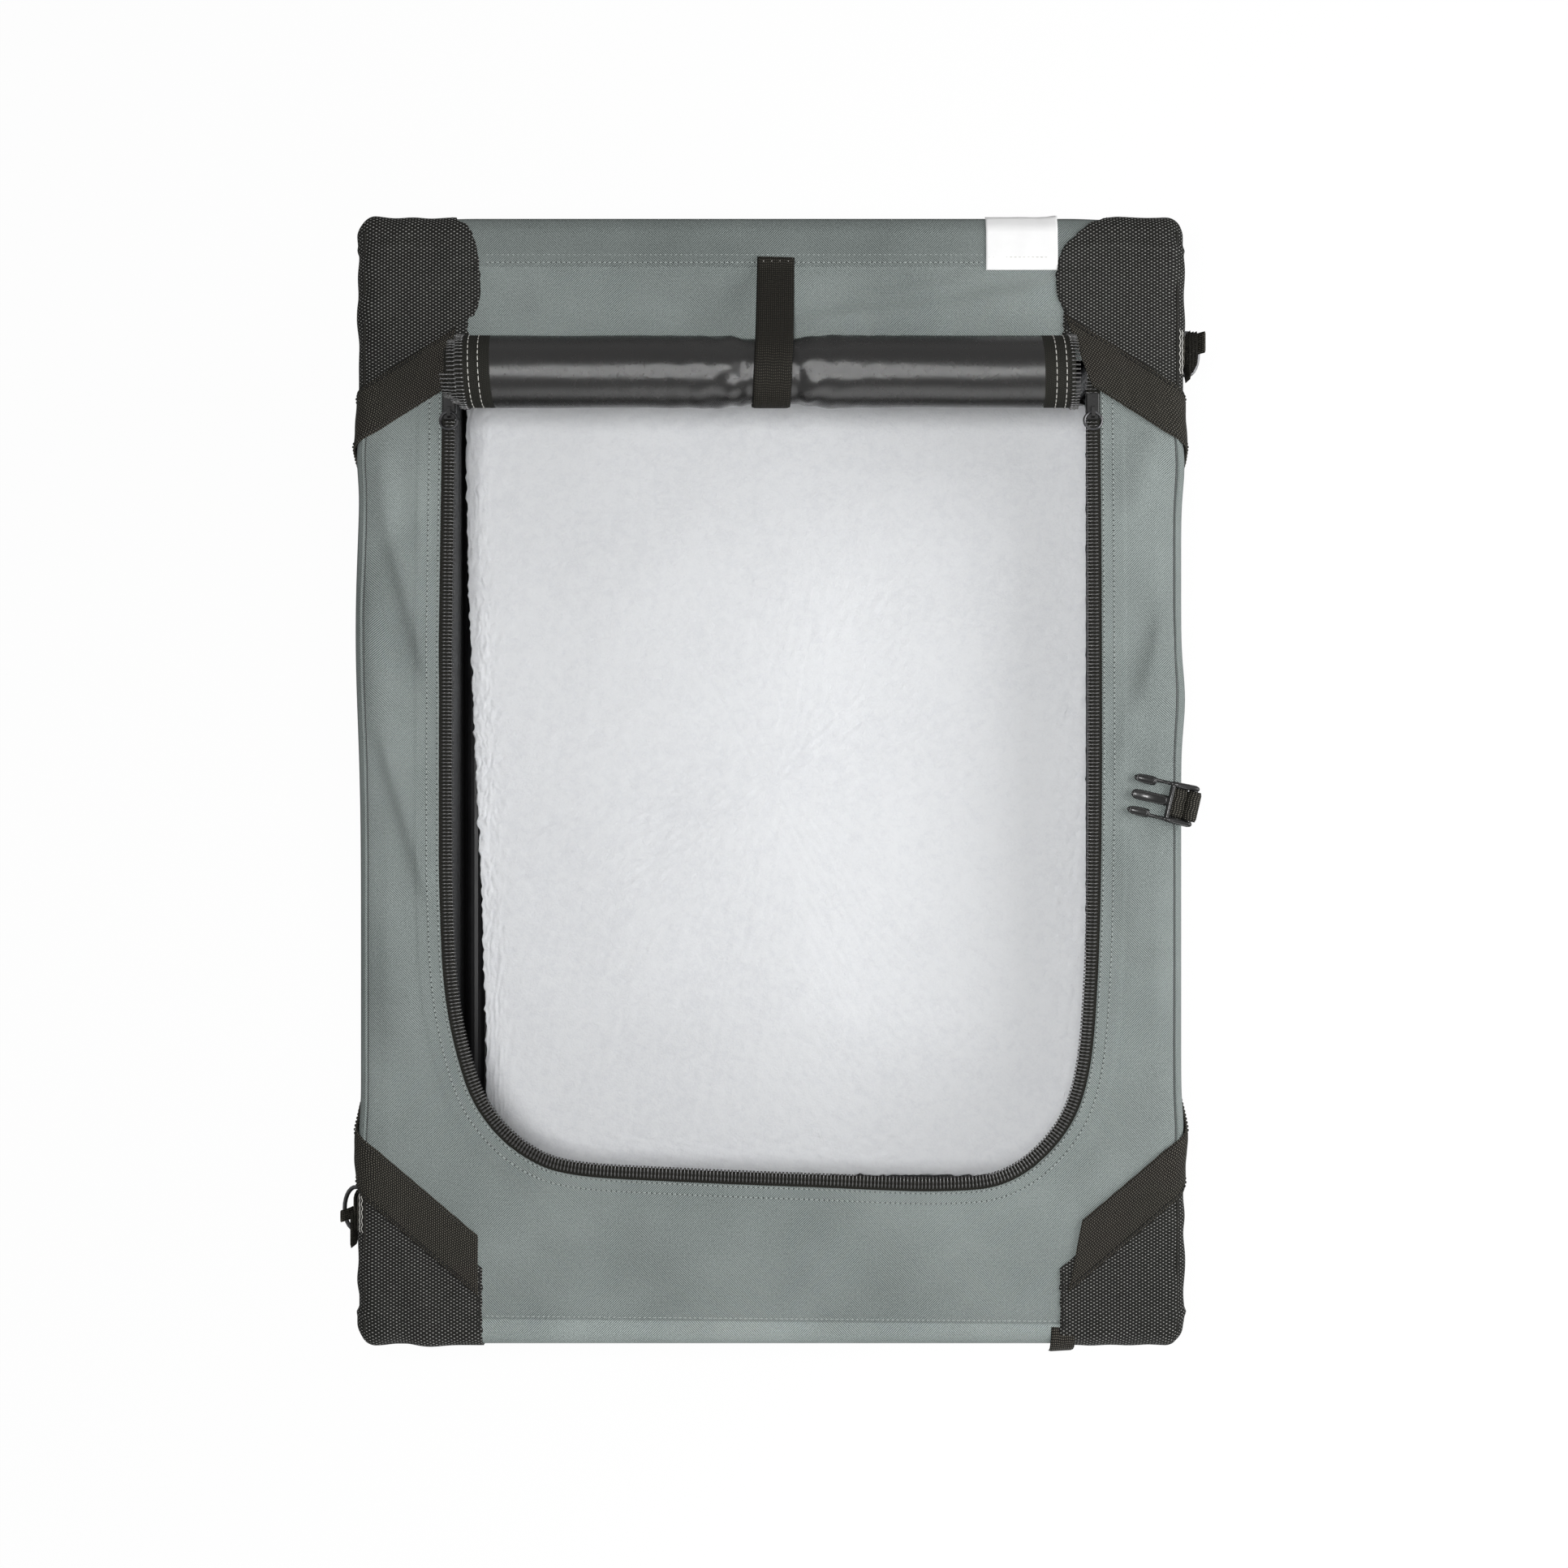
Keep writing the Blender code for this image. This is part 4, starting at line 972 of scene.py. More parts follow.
@dataclass(frozen=True)
class Cover:
    """The rounded box that the cloth is drawn over, and how the cloth departs from it."""
    half_width: float = 0.2765
    half_length: float = 0.378
    height: float = 0.54
    tray: float = 0.045
    edge: float = 0.0115
    skin: float = 0.0012
    folds: tuple[Fold, ...] = (
        Fold((-0.256, 0.168), (-0.229, 0.07), 0.016, 0.0043, 0.0055),
        Fold((-0.2645, 0.043), (-0.2275, -0.08), 0.018, 0.0043, 0.0055),
        Fold((-0.268, 0.138), (-0.263, 0.039), 0.01, 0.0032, 0.01),
        Fold((-0.261, 0.226), (-0.2575, 0.164), 0.013, 0.0035, 0.008),
        Fold((-0.24, 0.215), (-0.233, 0.15), 0.008, 0.0017, 0.007),
        Fold((-0.262, -0.07), (-0.245, -0.19), 0.016, 0.0017, 0.012),
        Fold((0.264, 0.11), (0.249, 0.054), 0.016, 0.0041, 0.007),
        Fold((0.256, 0.235), (0.2415, 0.175), 0.01, 0.0026, 0.013),
        Fold((0.244, 0.055), (0.2325, 0.0), 0.012, 0.0023, 0.008),
        Fold((0.24, -0.025), (0.245, -0.118), 0.012, 0.0023, 0.01),
        Fold((0.262, 0.02), (0.26, -0.15), 0.01, 0.0014, 0.01),
        Fold((0.0217, 0.308), (0.13, 0.319), 0.006, 0.0038, 0.014),
        Fold((0.125, 0.319), (0.185, 0.329), 0.006, 0.0032, 0.012),
        Fold((0.06, 0.324), (0.13, 0.333), 0.0045, 0.002, 0.007),
        Fold((-0.15, 0.324), (-0.04, 0.318), 0.012, 0.0017, 0.012),
        Fold((-0.12, -0.33), (0.06, -0.318), 0.016, 0.0012, 0.016),
        Fold((0.05, -0.3), (0.17, -0.325), 0.014, -0.001, 0.014),
    )
    bulges: tuple[tuple[Side, float, float, float], ...] = (  # side, place along it, width, how far out
        (Side.LEFT, 0.1, 0.085, 0.0036), (Side.LEFT, 0.219, 0.02, 0.0022),
        (Side.LEFT, -0.245, 0.02, 0.0018), (Side.RIGHT, 0.055, 0.026, 0.0026),
        (Side.RIGHT, 0.212, 0.022, 0.0022), (Side.RIGHT, -0.235, 0.02, 0.0016),
    )

    @property
    def cut(self) -> Point:
        """The flat size of the cloth that covers the roof, and of the tray's."""
        return 2 * (self.frame_x + self.reach), 2 * (self.frame_y + self.reach)

    @property
    def skirt(self) -> Array:
        """Stations round the edge and down the skirt, measured from the flat top."""
        return stages((0.0, self.turn, 9), (self.turn, self.reach, 6))[1:]

    @property
    def frame_x(self) -> float:
        """Where the roof's flat top ends across."""
        return self.half_width - self.edge

    @property
    def frame_y(self) -> float:
        """Where the roof's flat top ends along."""
        return self.half_length - self.edge

    @property
    def turn(self) -> float:
        """The length of cloth that goes round an edge."""
        return self.edge * math.pi / 2

    @property
    def reach(self) -> float:
        """The length of cloth past the flat top, round the edge and down to the rim."""
        return self.turn + self.tray - self.edge

    def lay(self, places: Array, lift: "float | Array" = 0.0) -> tuple[Array, Array]:
        """Put laid-flat places on the cover.

        Past the flat top, cloth goes round a quarter circle of the edge's radius and then straight
        down. Past two edges at once it goes round a sphere, in the direction that it left the top.

        Args:
            places: (u, v) on the cloth, any shape by 2.
            lift: how far outside the cover.

        Returns:
            The points and the cover's normals there.
        """
        limit = np.array([self.frame_x, self.frame_y])
        base = np.clip(places, -limit, limit)
        past = places - base
        run = np.linalg.norm(past, axis=-1)
        way = past / np.maximum(run, 1e-9)[..., None]
        angle = np.minimum(run / self.edge, math.pi / 2)
        normal = np.concatenate([way * np.sin(angle)[..., None], np.cos(angle)[..., None]], -1)
        centre = np.concatenate([base, np.full(run.shape + (1,), self.height - self.edge)], -1)
        centre[..., 2] -= np.maximum(run - self.turn, 0.0)
        points = centre + normal * (self.edge + np.asarray(lift))[..., None]
        return self.settle(points), normal

    def settle(self, points: Array) -> Array:
        """Move points of the roof as the soft cloth moves.

        Folds lift or sink the flat top, as a bell curve of the distance to their line that is wider on
        one side. Bulges push the long edges out, as a bell curve along Y. The cloth falls a little from
        the rear rail to the rear edge, and from the side rails to the long edges.

        Args:
            points: on the cover.

        Returns:
            Where they come to lie.
        """
        made = points.copy()
        x, y, z = points[..., 0], points[..., 1], points[..., 2]
        flat = ease(z, self.height - 0.006, self.height - 0.0005)
        for fold in self.folds:
            start, way = np.array(fold.start), np.array(fold.end) - np.array(fold.start)
            run = ((x - start[0]) * way[0] + (y - start[1]) * way[1]) / (way @ way)
            share = np.clip(run, 0.0, 1.0)
            away = np.hypot(x - start[0] - share * way[0], y - start[1] - share * way[1])
            turned = way[0] * (y - start[1]) - way[1] * (x - start[0]) < 0.0
            wide = np.where(turned, fold.tail or fold.wide, fold.wide)
            fade = ease(run, -0.15, 0.25) * ease(1 - run, -0.15, 0.25)
            made[..., 2] += flat * fade * fold.high * np.exp(-(away / wide) ** 2)
        made[..., 2] -= flat * (0.0016 * ease(y, 0.336, 0.368) + 0.0012 * ease(np.abs(x), 0.256, 0.268))
        loose = ease(z, self.height - 0.045, self.height - 0.022)
        for side, middle, wide, out in self.bulges:
            near = ease(side.value * x, self.frame_x - 0.008, self.half_width)
            made[..., 0] += side.value * out * loose * near * np.exp(-((y - middle) / wide) ** 2)
        return made

    def draw(self, places: Array, lift: float = 0.0) -> tuple[Array, Array, Array]:
        """A line on the cover: its points, its directions and its normals."""
        points, normals = self.lay(places, lift)
        return points, tangents(points), normals

    def sew(self, name: str, places: Array, finish: bpy.types.Material, pitch: float = PITCH,
            lift: float = 0.0, thick: float = 0.0007) -> bpy.types.Object:
        """A row of stitches along laid-flat places, with a needle's gap between them.

        Args:
            name: of the row.
            places: its line.
            finish: the thread's material.
            pitch: from stitch to stitch.
            lift: how far outside the cover.
            thick: of the thread.

        Returns:
            The row as one object.
        """
        points, along, up = self.draw(spaced(places, pitch), lift)
        mesh = stitch(pitch * 0.72, thick).repeat(name, points, along, up)
        return place(mesh, finish, "top_frame")

    def seam(self, name: str, number: int, places: Array, lift: float) -> None:
        """A row of grey stitches, with the needle's holes between them as small dark dimples, whose dark
        colour is painted shade.

        Args:
            name: of what is sewn.
            number: of the row.
            places: its line.
            lift: how far outside the cover.
        """
        self.sew(f"{name}_stitches_{number}", places, LOOK.grey_thread, lift=lift)
        row = spaced(places, PITCH)
        points, along, up = self.draw((row[1:] + row[:-1]) / 2, lift)
        # Dark dimples between the stitches: painted shade in the needle's holes.
        mesh = PRICK.repeat(f"{name}_holes_{number}", points, along, up)
        place(mesh, LOOK.shade_thread, "top_frame")


COVER = Cover()


@dataclass(frozen=True)
class Opening:
    """The roof's U-shaped opening, from its rear left end round the front to its rear right end."""
    line: tuple[Point, ...] = (
        (-0.2205, 0.282), (-0.2205, 0.2405), (-0.222, 0.1155), (-0.2223, -0.0204), (-0.2198, -0.1291),
        (-0.2075, -0.194), (-0.1902, -0.229), (-0.1631, -0.253), (-0.13, -0.264), (-0.06, -0.2685),
        (0.0272, -0.272), (0.115, -0.2747), (0.16, -0.268), (0.194, -0.24), (0.212, -0.1997),
        (0.219, -0.1291), (0.2215, -0.02), (0.2215, 0.1155), (0.2205, 0.2405), (0.2205, 0.282))

    def outline(self) -> Array:
        """The edge of the cloth, which the zip's tape shows inside of."""
        return spaced(smooth_path(self.line), 0.0035)

    def loop(self) -> Array:
        """The whole opening, closed along the rear.

        Returns:
            The points.
        """
        left, right = self.line[0], self.line[-1]
        rear = np.linspace(right, left, 80)[1:-1]
        return np.vstack([self.outline(), rear])


OPENING = Opening()


def ray_hits(loop: Array, angles: Array, centre: Array) -> Array:
    """Where rays from a centre leave a loop: its polar radius interpolated at each angle.

    Args:
        loop: a closed outline that each ray crosses once.
        angles: of the rays.
        centre: where they start.

    Returns:
        A place for each ray.
    """
    away = loop - centre
    polar = np.arctan2(away[:, 1], away[:, 0])
    order = np.argsort(polar)
    radius = np.interp(angles, polar[order], np.linalg.norm(away, axis=1)[order], period=2 * math.pi)
    return centre + radius[:, None] * np.stack([np.cos(angles), np.sin(angles)], 1)


def rim_path(half_x: float, half_y: float, pitch: float, fan: int = 7) -> tuple[Array, Array]:
    """A rectangle's outline and its outward directions, which fan out at each corner.

    Args:
        half_x: half its width.
        half_y: half its length.
        pitch: of its points.
        fan: directions at each corner.

    Returns:
        The points and the directions, counterclockwise from the middle of the right side.
    """
    corners = [(half_x, half_y), (-half_x, half_y), (-half_x, -half_y), (half_x, -half_y), (half_x, half_y)]
    points, ways = [], []
    for number, (corner, following) in enumerate(zip(corners, corners[1:])):
        start = math.pi / 2 * number
        turn = np.linspace(start, start + math.pi / 2, fan)
        points.append(np.repeat([corner], fan, 0))
        ways.append(np.stack([np.cos(turn), np.sin(turn)], 1))
        run = spaced(np.array([corner, following]), pitch)[1:-1]
        points.append(run)
        ways.append(np.repeat([[math.cos(start + math.pi / 2), math.sin(start + math.pi / 2)]], len(run), 0))
    return np.vstack(points), np.vstack(ways)


@dataclass(frozen=True)
class Roof:
    """The grey roof round its opening, its hems, seams, piping and stitches."""
    hem: float = 0.016
    hem_rise: float = 0.0005
    rear_seam: float = 0.344
    front_seam: Point = (-0.3605, -0.364)
    seam_half: float = 0.19
    label_side: float = 0.141
    pipe_angle: float = math.radians(34)
    pipe: float = 0.0011
    pipe_ends: Point = (-0.262, 0.25)

    def relief(self, places: Array) -> Array:
        """How far the cloth stands off: a hem round the opening, bulging end strips, sunk seams.

        Args:
            places: on the laid-flat roof.

        Returns:
            The height over the cover.
        """
        loop = OPENING.outline()
        away = np.sqrt(((places[..., None, :] - loop[::2]) ** 2).sum(-1)).min(-1)
        lift = self.hem_rise * (1 - ease(away, self.hem - 0.001, self.hem + 0.001))
        u, v = places[..., 0], places[..., 1]
        slant = self.front_line(u)
        ends = 0.001 * ease(v, self.rear_seam, self.rear_seam + 0.01)
        ends += 0.0008 * ease(slant - v, 0.0, 0.008)
        ends -= 0.0008 * np.exp(-((v - self.rear_seam) / 0.0016) ** 2)
        ends -= 0.0008 * np.exp(-((v - slant) / 0.0014) ** 2)
        return lift + ends * (1 - ease(np.abs(u), 0.2, 0.235))

    def front_line(self, u: Array) -> Array:
        """Where the front seam lies, which slants a little."""
        return np.interp(u, (-self.seam_half, self.seam_half), self.front_seam)

    def build(self) -> None:
        """Make the roof and what is sewn along it."""
        rim, ways = rim_path(COVER.frame_x, COVER.frame_y, 0.006)
        inner = ray_hits(OPENING.loop(), np.arctan2(rim[:, 1], rim[:, 0]), np.zeros(2))
        share = stages((0.0, 0.4, 20), (0.4, 0.73, 9), (0.73, 0.83, 12), (0.83, 0.92, 4), (0.92, 1.0, 11))
        down = rim[None] + ways[None] * COVER.skirt[:, None, None]
        places = np.concatenate([between(inner, rim, share), down])
        points, _ = COVER.lay(places, self.relief(places))
        mesh = grid_mesh("roof_cover", points, places, True, flip=True)
        roof = place(mesh, [LOOK.roof_grey, LOOK.lining], "top_frame", ("roof_panel",))
        thicken(roof, COVER.skin, lining=1)
        self.sew_all()
        self.pipe_edges()

    def sew_all(self) -> None:
        """Stitch the hem round the opening and the seams of both ends."""
        line = OPENING.outline()
        for number, away in enumerate((0.0014, 0.0082)):
            COVER.seam("opening", number, offset_path(line, -away)[2:-2], self.hem_rise)
        for number, shift in enumerate((0.0036, 0.0086)):
            x = np.linspace(-self.seam_half, self.label_side, 60)
            row = np.stack([x, np.full(60, self.rear_seam + shift)], 1)
            COVER.seam("rear_seam", number, row, 0.0001 + 0.0005 * number)
        x = np.linspace(-self.seam_half, self.seam_half, 60)
        row = np.stack([x, self.front_line(x) + 0.0022], 1)
        COVER.sew("front_seam_stitches", row, LOOK.grey_thread)

    def pipe_edges(self) -> None:
        """Run a thin piping along both long edges, with a dark seam beside it."""
        run = COVER.frame_x + COVER.edge * self.pipe_angle
        for side in Side:
            line = np.stack([np.full(120, side.value * run), np.linspace(*self.pipe_ends, 120)], 1)
            points, _ = COVER.lay(line, self.pipe * 0.35)
            place(tube(f"edge_piping_{side.word}", points, self.pipe), LOOK.grey, "top_frame")
            seam, _ = COVER.lay(line - np.array([side.value * 0.0016, 0.0]), -0.0001)
            place(tube(f"edge_seam_{side.word}", seam, 0.00035, 6), LOOK.lining, "top_frame")


@dataclass(frozen=True)
class RoofZip:
    """The half of the coil zip that stays on the roof: woven tape and its row of teeth."""
    tuck: float = 0.001
    tape: float = 0.0085
    root: float = 0.0022
    pitch: float = ZIP_PITCH
    tooth: Tiny = Tiny((
        (-0.0004, 0.0006, 0.0004, 0.0003), (0.0, 0.0008, 0.001, 0.0005), (0.0013, 0.0017, 0.0024, 0.0011),
        (0.0028, 0.0006, 0.0008, 0.0003), (0.0043, 0.0017, 0.0024, 0.0011), (0.0058, 0.0008, 0.001, 0.0005),
        (0.0068, 0.0014, 0.0015, 0.0006), (0.0076, 0.0013, 0.001, 0.0005)))

    def build(self) -> None:
        """Make the tape and teeth round the opening."""
        line = OPENING.outline()
        across = np.linspace(-self.tuck, self.tape, 9)
        places = np.stack([offset_path(line, away) for away in across])
        rise = 0.0001 + 0.0005 * ease(across, self.root, self.root + 0.002)
        points, _ = COVER.lay(places, rise[:, None] * np.ones(len(line)))
        mesh = grid_mesh("zip_tape", points, pairs(across[:, None], lengths(line)[None, :]))
        tape = place(mesh, LOOK.tape, "top_frame", ("roof_zip",))
        thicken(tape, 0.0008)
        seats = spaced(offset_path(line, self.root), self.pitch)
        points, along, up = COVER.draw(seats, 0.0006)
        inwards = np.cross(up, along)
        place(self.tooth.repeat("zip_teeth", points, inwards, up), LOOK.coil, "top_frame")


ROOF = Roof()


# The rolled door


@dataclass(frozen=True)
class RolledDoor:
    """The roof's door: coated cloth wound round itself, with half of the coil zip down both sides."""
    centre: Point = (0.2702, 0.5687)
    radius: float = 0.0255
    core: float = 0.0062
    start: float = math.radians(-62)
    turns: float = 5.5
    left: float = -0.1995
    right: float = 0.2012
    skew: float = -0.0053
    corner: float = 0.112
    tape: float = 0.02
    waist: float = 0.0025
    waist_half: float = 0.013
    cloth: float = 0.0011
    zipped: float = 0.62
    outer_turn: float = 0.17
    tooth: Tiny = Tiny((
        (-0.0034, 0.0008, 0.0006, 0.0003), (-0.0026, 0.0013, 0.0016, 0.0006),
        (-0.0014, 0.0011, 0.0008, 0.0003), (0.0, 0.0013, 0.0017, 0.0006),
        (0.0012, 0.0012, 0.0008, 0.0003), (0.0019, 0.0015, 0.0012, 0.0004), (0.0023, 0.001, 0.0008, 0.0003)))

    def wind(self, turn: Array, x: Array, lift: "float | Array" = 0.0) -> tuple[Array, Array]:
        """Put places of the door on the roll.

        A spiral about X: the angle falls from the start by a full circle per turn, while the radius
        shrinks evenly from the outside to the core. The waist draws it in, and crumples spread from it.

        Args:
            turn: turns from the outer end.
            x: across the carrier.
            lift: how far outside the spiral.

        Returns:
            The points and the directions outwards.
        """
        angle = self.start - 2 * math.pi * turn
        out = np.stack([np.zeros_like(angle + x), np.cos(angle) + 0 * x, np.sin(angle) + 0 * x], -1)
        share = np.clip(turn / self.turns, 0.0, 1.0)
        radius = self.radius + (self.core - self.radius) * share
        away = np.abs(x - 0.001)
        pinch = 1 - ease(away, self.waist_half, self.waist_half + 0.024)
        spot = np.concatenate([x[..., None], out[..., 1:] * 0.02], -1)
        near = ease(away, self.waist_half - 0.001, self.waist_half + 0.01) * np.exp(
            -np.maximum(away - self.waist_half, 0.0) / 0.024)
        ends = 1 - ease(away, 0.15, 0.195)
        crumple = 0.0017 * near * bumps(spot, 7, 0.01, 0.03)
        crumple = crumple + 0.00022 * ends * bumps(spot, 11, 0.04, 0.12)
        crumple = np.minimum(crumple * ease(away, self.waist_half, self.waist_half + 0.004), 0.0012)
        radius = radius + (crumple - self.waist * pinch) * (1 - 0.6 * share) + np.asarray(lift)
        points = out * radius[..., None]
        points[..., 0] = x
        points[..., 1:] += np.array(self.centre)
        return points, out

    def ends_at(self, turn: Array) -> tuple[Array, Array]:
        """Where the cloth's sides lie: each turn is shifted, and the last ones round off to the free end.

        Args:
            turn: turns from the outer end.

        Returns:
            The left side's place and the right's.
        """
        length = (self.turns - turn) * 2 * math.pi * self.core * 1.2
        inside = np.clip(1 - length / self.corner, 0.0, 1.0)
        cut = self.corner * (1 - np.sqrt(np.maximum(1 - inside**2, 0.0)))
        shift = self.skew * np.minimum(turn, 2.6)
        return self.left + shift + cut, self.right + shift - cut

    def build(self) -> None:
        """Make the wound cloth, its teeth and its stitches."""
        turn = np.linspace(0.0, self.turns, 230)
        taped = np.linspace(0.0, self.tape / 0.4, 7)
        share = np.concatenate([taped, np.linspace(0.05, 0.95, 190)[1:-1], 1 - taped[::-1]])
        left, right = self.ends_at(turn)
        x = left[:, None] + (right - left)[:, None] * share[None, :]
        points, _ = self.wind(turn[:, None] * np.ones_like(x), x)
        length = lengths(points[:, len(share) // 2 - 1])
        mesh = grid_mesh("rolled_top_door", points, pairs(x, length[:, None]))
        index = np.zeros((len(turn) - 1, len(share) - 1), int)
        index[:, :6] = index[:, -6:] = 1
        mesh.polygons.foreach_set("material_index", index.ravel())
        roll = place(mesh, [LOOK.coated, LOOK.tape], "top_frame", ("top_door_roll",))
        thicken(roll, self.cloth)
        self.zip_sides(length, turn)

    def zip_sides(self, length: Array, turn: Array) -> None:
        """Teeth along both sides, and the stitches that hold the tape on the outer turn.

        Args:
            length: of cloth up to each turn.
            turn: turns from the outer end.
        """
        seats = np.interp(np.arange(0.004, length[-1] * self.zipped, ZIP_PITCH), length, turn)
        shown = np.interp(np.arange(0.004, self.outer_turn, 0.004), length, turn)
        for side in Side:
            which = 0 if side is Side.LEFT else 1
            points, out = self.wind(seats, self.ends_at(seats)[which])
            way = np.repeat([side.value * ALONG_X], len(seats), 0)
            mesh = self.tooth.repeat(f"roll_teeth_{side.word}", points + way * 0.0006, way, out)
            place(mesh, LOOK.coil, "top_frame")
            for number, inset in enumerate((0.006, 0.0125)):
                points, out = self.wind(shown, self.ends_at(shown)[which] - side.value * inset, 0.0001)
                mesh = stitch(0.0034, 0.0006).repeat(f"roll_stitches_{side.word}_{number}", points,
                                                     tangents(points), out)
                place(mesh, LOOK.pale_thread, "top_frame")


@dataclass(frozen=True)
class RollStrap:
    """The webbing that ties the rolled door: sewn down behind it, over it and under its front."""
    width: float = 0.025
    webbing: float = 0.0013
    foot: float = 0.3447
    flat: float = 0.006
    end: float = math.radians(250)
    behind: float = 0.0033
    before: float = -0.0011

    def path(self, door: RolledDoor) -> Array:
        """The strap's centreline: flat on the roof, up to the roll, then round it.

        Args:
            door: the roll.

        Returns:
            The centreline.
        """
        inner = door.radius - door.waist + 0.0003 + self.webbing / 2
        level = COVER.height + 0.0003 + self.webbing / 2
        centre = np.array(door.centre)
        hem = np.array([self.foot, level])
        offset = hem - centre
        start = math.atan2(offset[1], offset[0]) + math.acos(inner / np.linalg.norm(offset))
        angle = np.linspace(start, self.end, 70)
        arc = centre + inner * np.stack([np.cos(angle), np.sin(angle)], 1)
        rise = np.linspace(0.0, 1.0, 16)[1:-1, None]
        slope = hem * (1 - rise) + arc[0] * rise
        slope[:, 1] -= 0.0022 * np.sin(np.pi * rise[:, 0])
        flat = np.stack([np.linspace(self.foot + self.flat, self.foot, 4), np.full(4, level + 0.0009)], 1)
        line = np.vstack([flat, slope, arc])
        x = np.linspace(self.behind, self.before, len(line))
        return np.column_stack([x, line])

    def build(self, door: RolledDoor) -> None:
        """Make the strap, its seam and its cut end.

        Args:
            door: the roll that it ties.
        """
        path = self.path(door)
        lean = np.zeros((len(path), 2))
        lean[-6:] = np.linspace(0.0, 1.0, 6)[:, None] * np.array([0.0016, -0.0012])
        mesh = strip("roll_strap_webbing", path, ALONG_X, self.width, self.webbing, 14, lean)
        # The strap's webbing is its darker copy: painted shade.
        place(mesh, LOOK.strap, "top_frame", ("roll_strap",))
        row = np.stack([np.linspace(-0.011, 0.011, 9) + self.behind, np.full(9, self.foot + 0.003)], 1)
        zigzag = row.copy()
        zigzag[::2, 1] += 0.0022
        points, _ = COVER.lay(zigzag, self.webbing + 0.0014)
        cord = tube("roll_strap_zigzag", spaced(points, 0.0006), 0.00035, 6)
        place(cord, LOOK.pale_thread, "top_frame")


# Trim on the roof


@dataclass(frozen=True)
class CareLabel:
    """The blank label sewn to the rear border and lying over the edge."""
    low: float = 0.144
    width: float = 0.048
    seam: float = 0.3425
    end: float = 0.3829
    lift: float = 0.001
    satin: float = 0.0005

    def build(self) -> None:
        """A sheet laid over the edge, whose free corner curls, and its seam."""
        high = self.low + self.width
        u, v = np.meshgrid(np.linspace(self.low, high, 34), np.linspace(self.seam, self.end, 34))
        places = np.stack([u, v], -1)
        ripple = bumps(places, 5, 0.016, 0.05) * 0.00022 * ease(v, self.seam, self.seam + 0.012)
        curl = 0.0009 * ease(u, high - 0.008, high) * ease(v, self.end - 0.012, self.end)
        points, _ = COVER.lay(places, self.lift + ROOF.relief(places) + ripple + curl + 0.0001)
        mesh = grid_mesh("care_label_satin", points, places)
        label = place(mesh, LOOK.label, "top_frame", ("care_label",))
        thicken(label, self.satin)
        row = np.stack([np.linspace(self.low + 0.002, high - 0.002, 20), np.full(20, self.seam + 0.0083)], 1)
        COVER.sew("care_label_seam", row, LOOK.pale_thread, 0.003, self.lift + 0.0006, 0.0006)


@dataclass(frozen=True)
class Hem:
    """A patch's slanting hem: how far from the middle it lies at its inner edge and at the side."""
    inner: float
    outer: float

    @property
    def slope(self) -> float:
        """How much the hem climbs for each metre across the patch."""
        return (self.inner - self.outer) / 0.083

    def at(self, u: Array) -> Array:
        """The hem's place along the roof, as a straight line across it."""
        return self.outer + (COVER.half_width - u) * self.slope


HEMS = {End.REAR: Hem(0.296, 0.244), End.FRONT: Hem(0.3265, 0.256)}


@dataclass(frozen=True)
class Corner:
    """One of the roof's four corners. Its pieces are laid out for the rear right and mirrored."""
    end: End
    side: Side

    @property
    def word(self) -> str:
        """The corner's name in a piece's name."""
        return f"{self.end.word}_{self.side.word}"

    @property
    def sign(self) -> Array:
        """Its signs across and along."""
        return np.array([self.side.value, self.end.value], float)

    @property
    def mirrored(self) -> bool:
        """Whether its signs turn a surface over."""
        return self.side.value * self.end.value < 0

    @property
    def number(self) -> int:
        """A number of its own, for the seeds of its waves."""
        return self.side.value + 3 * self.end.value


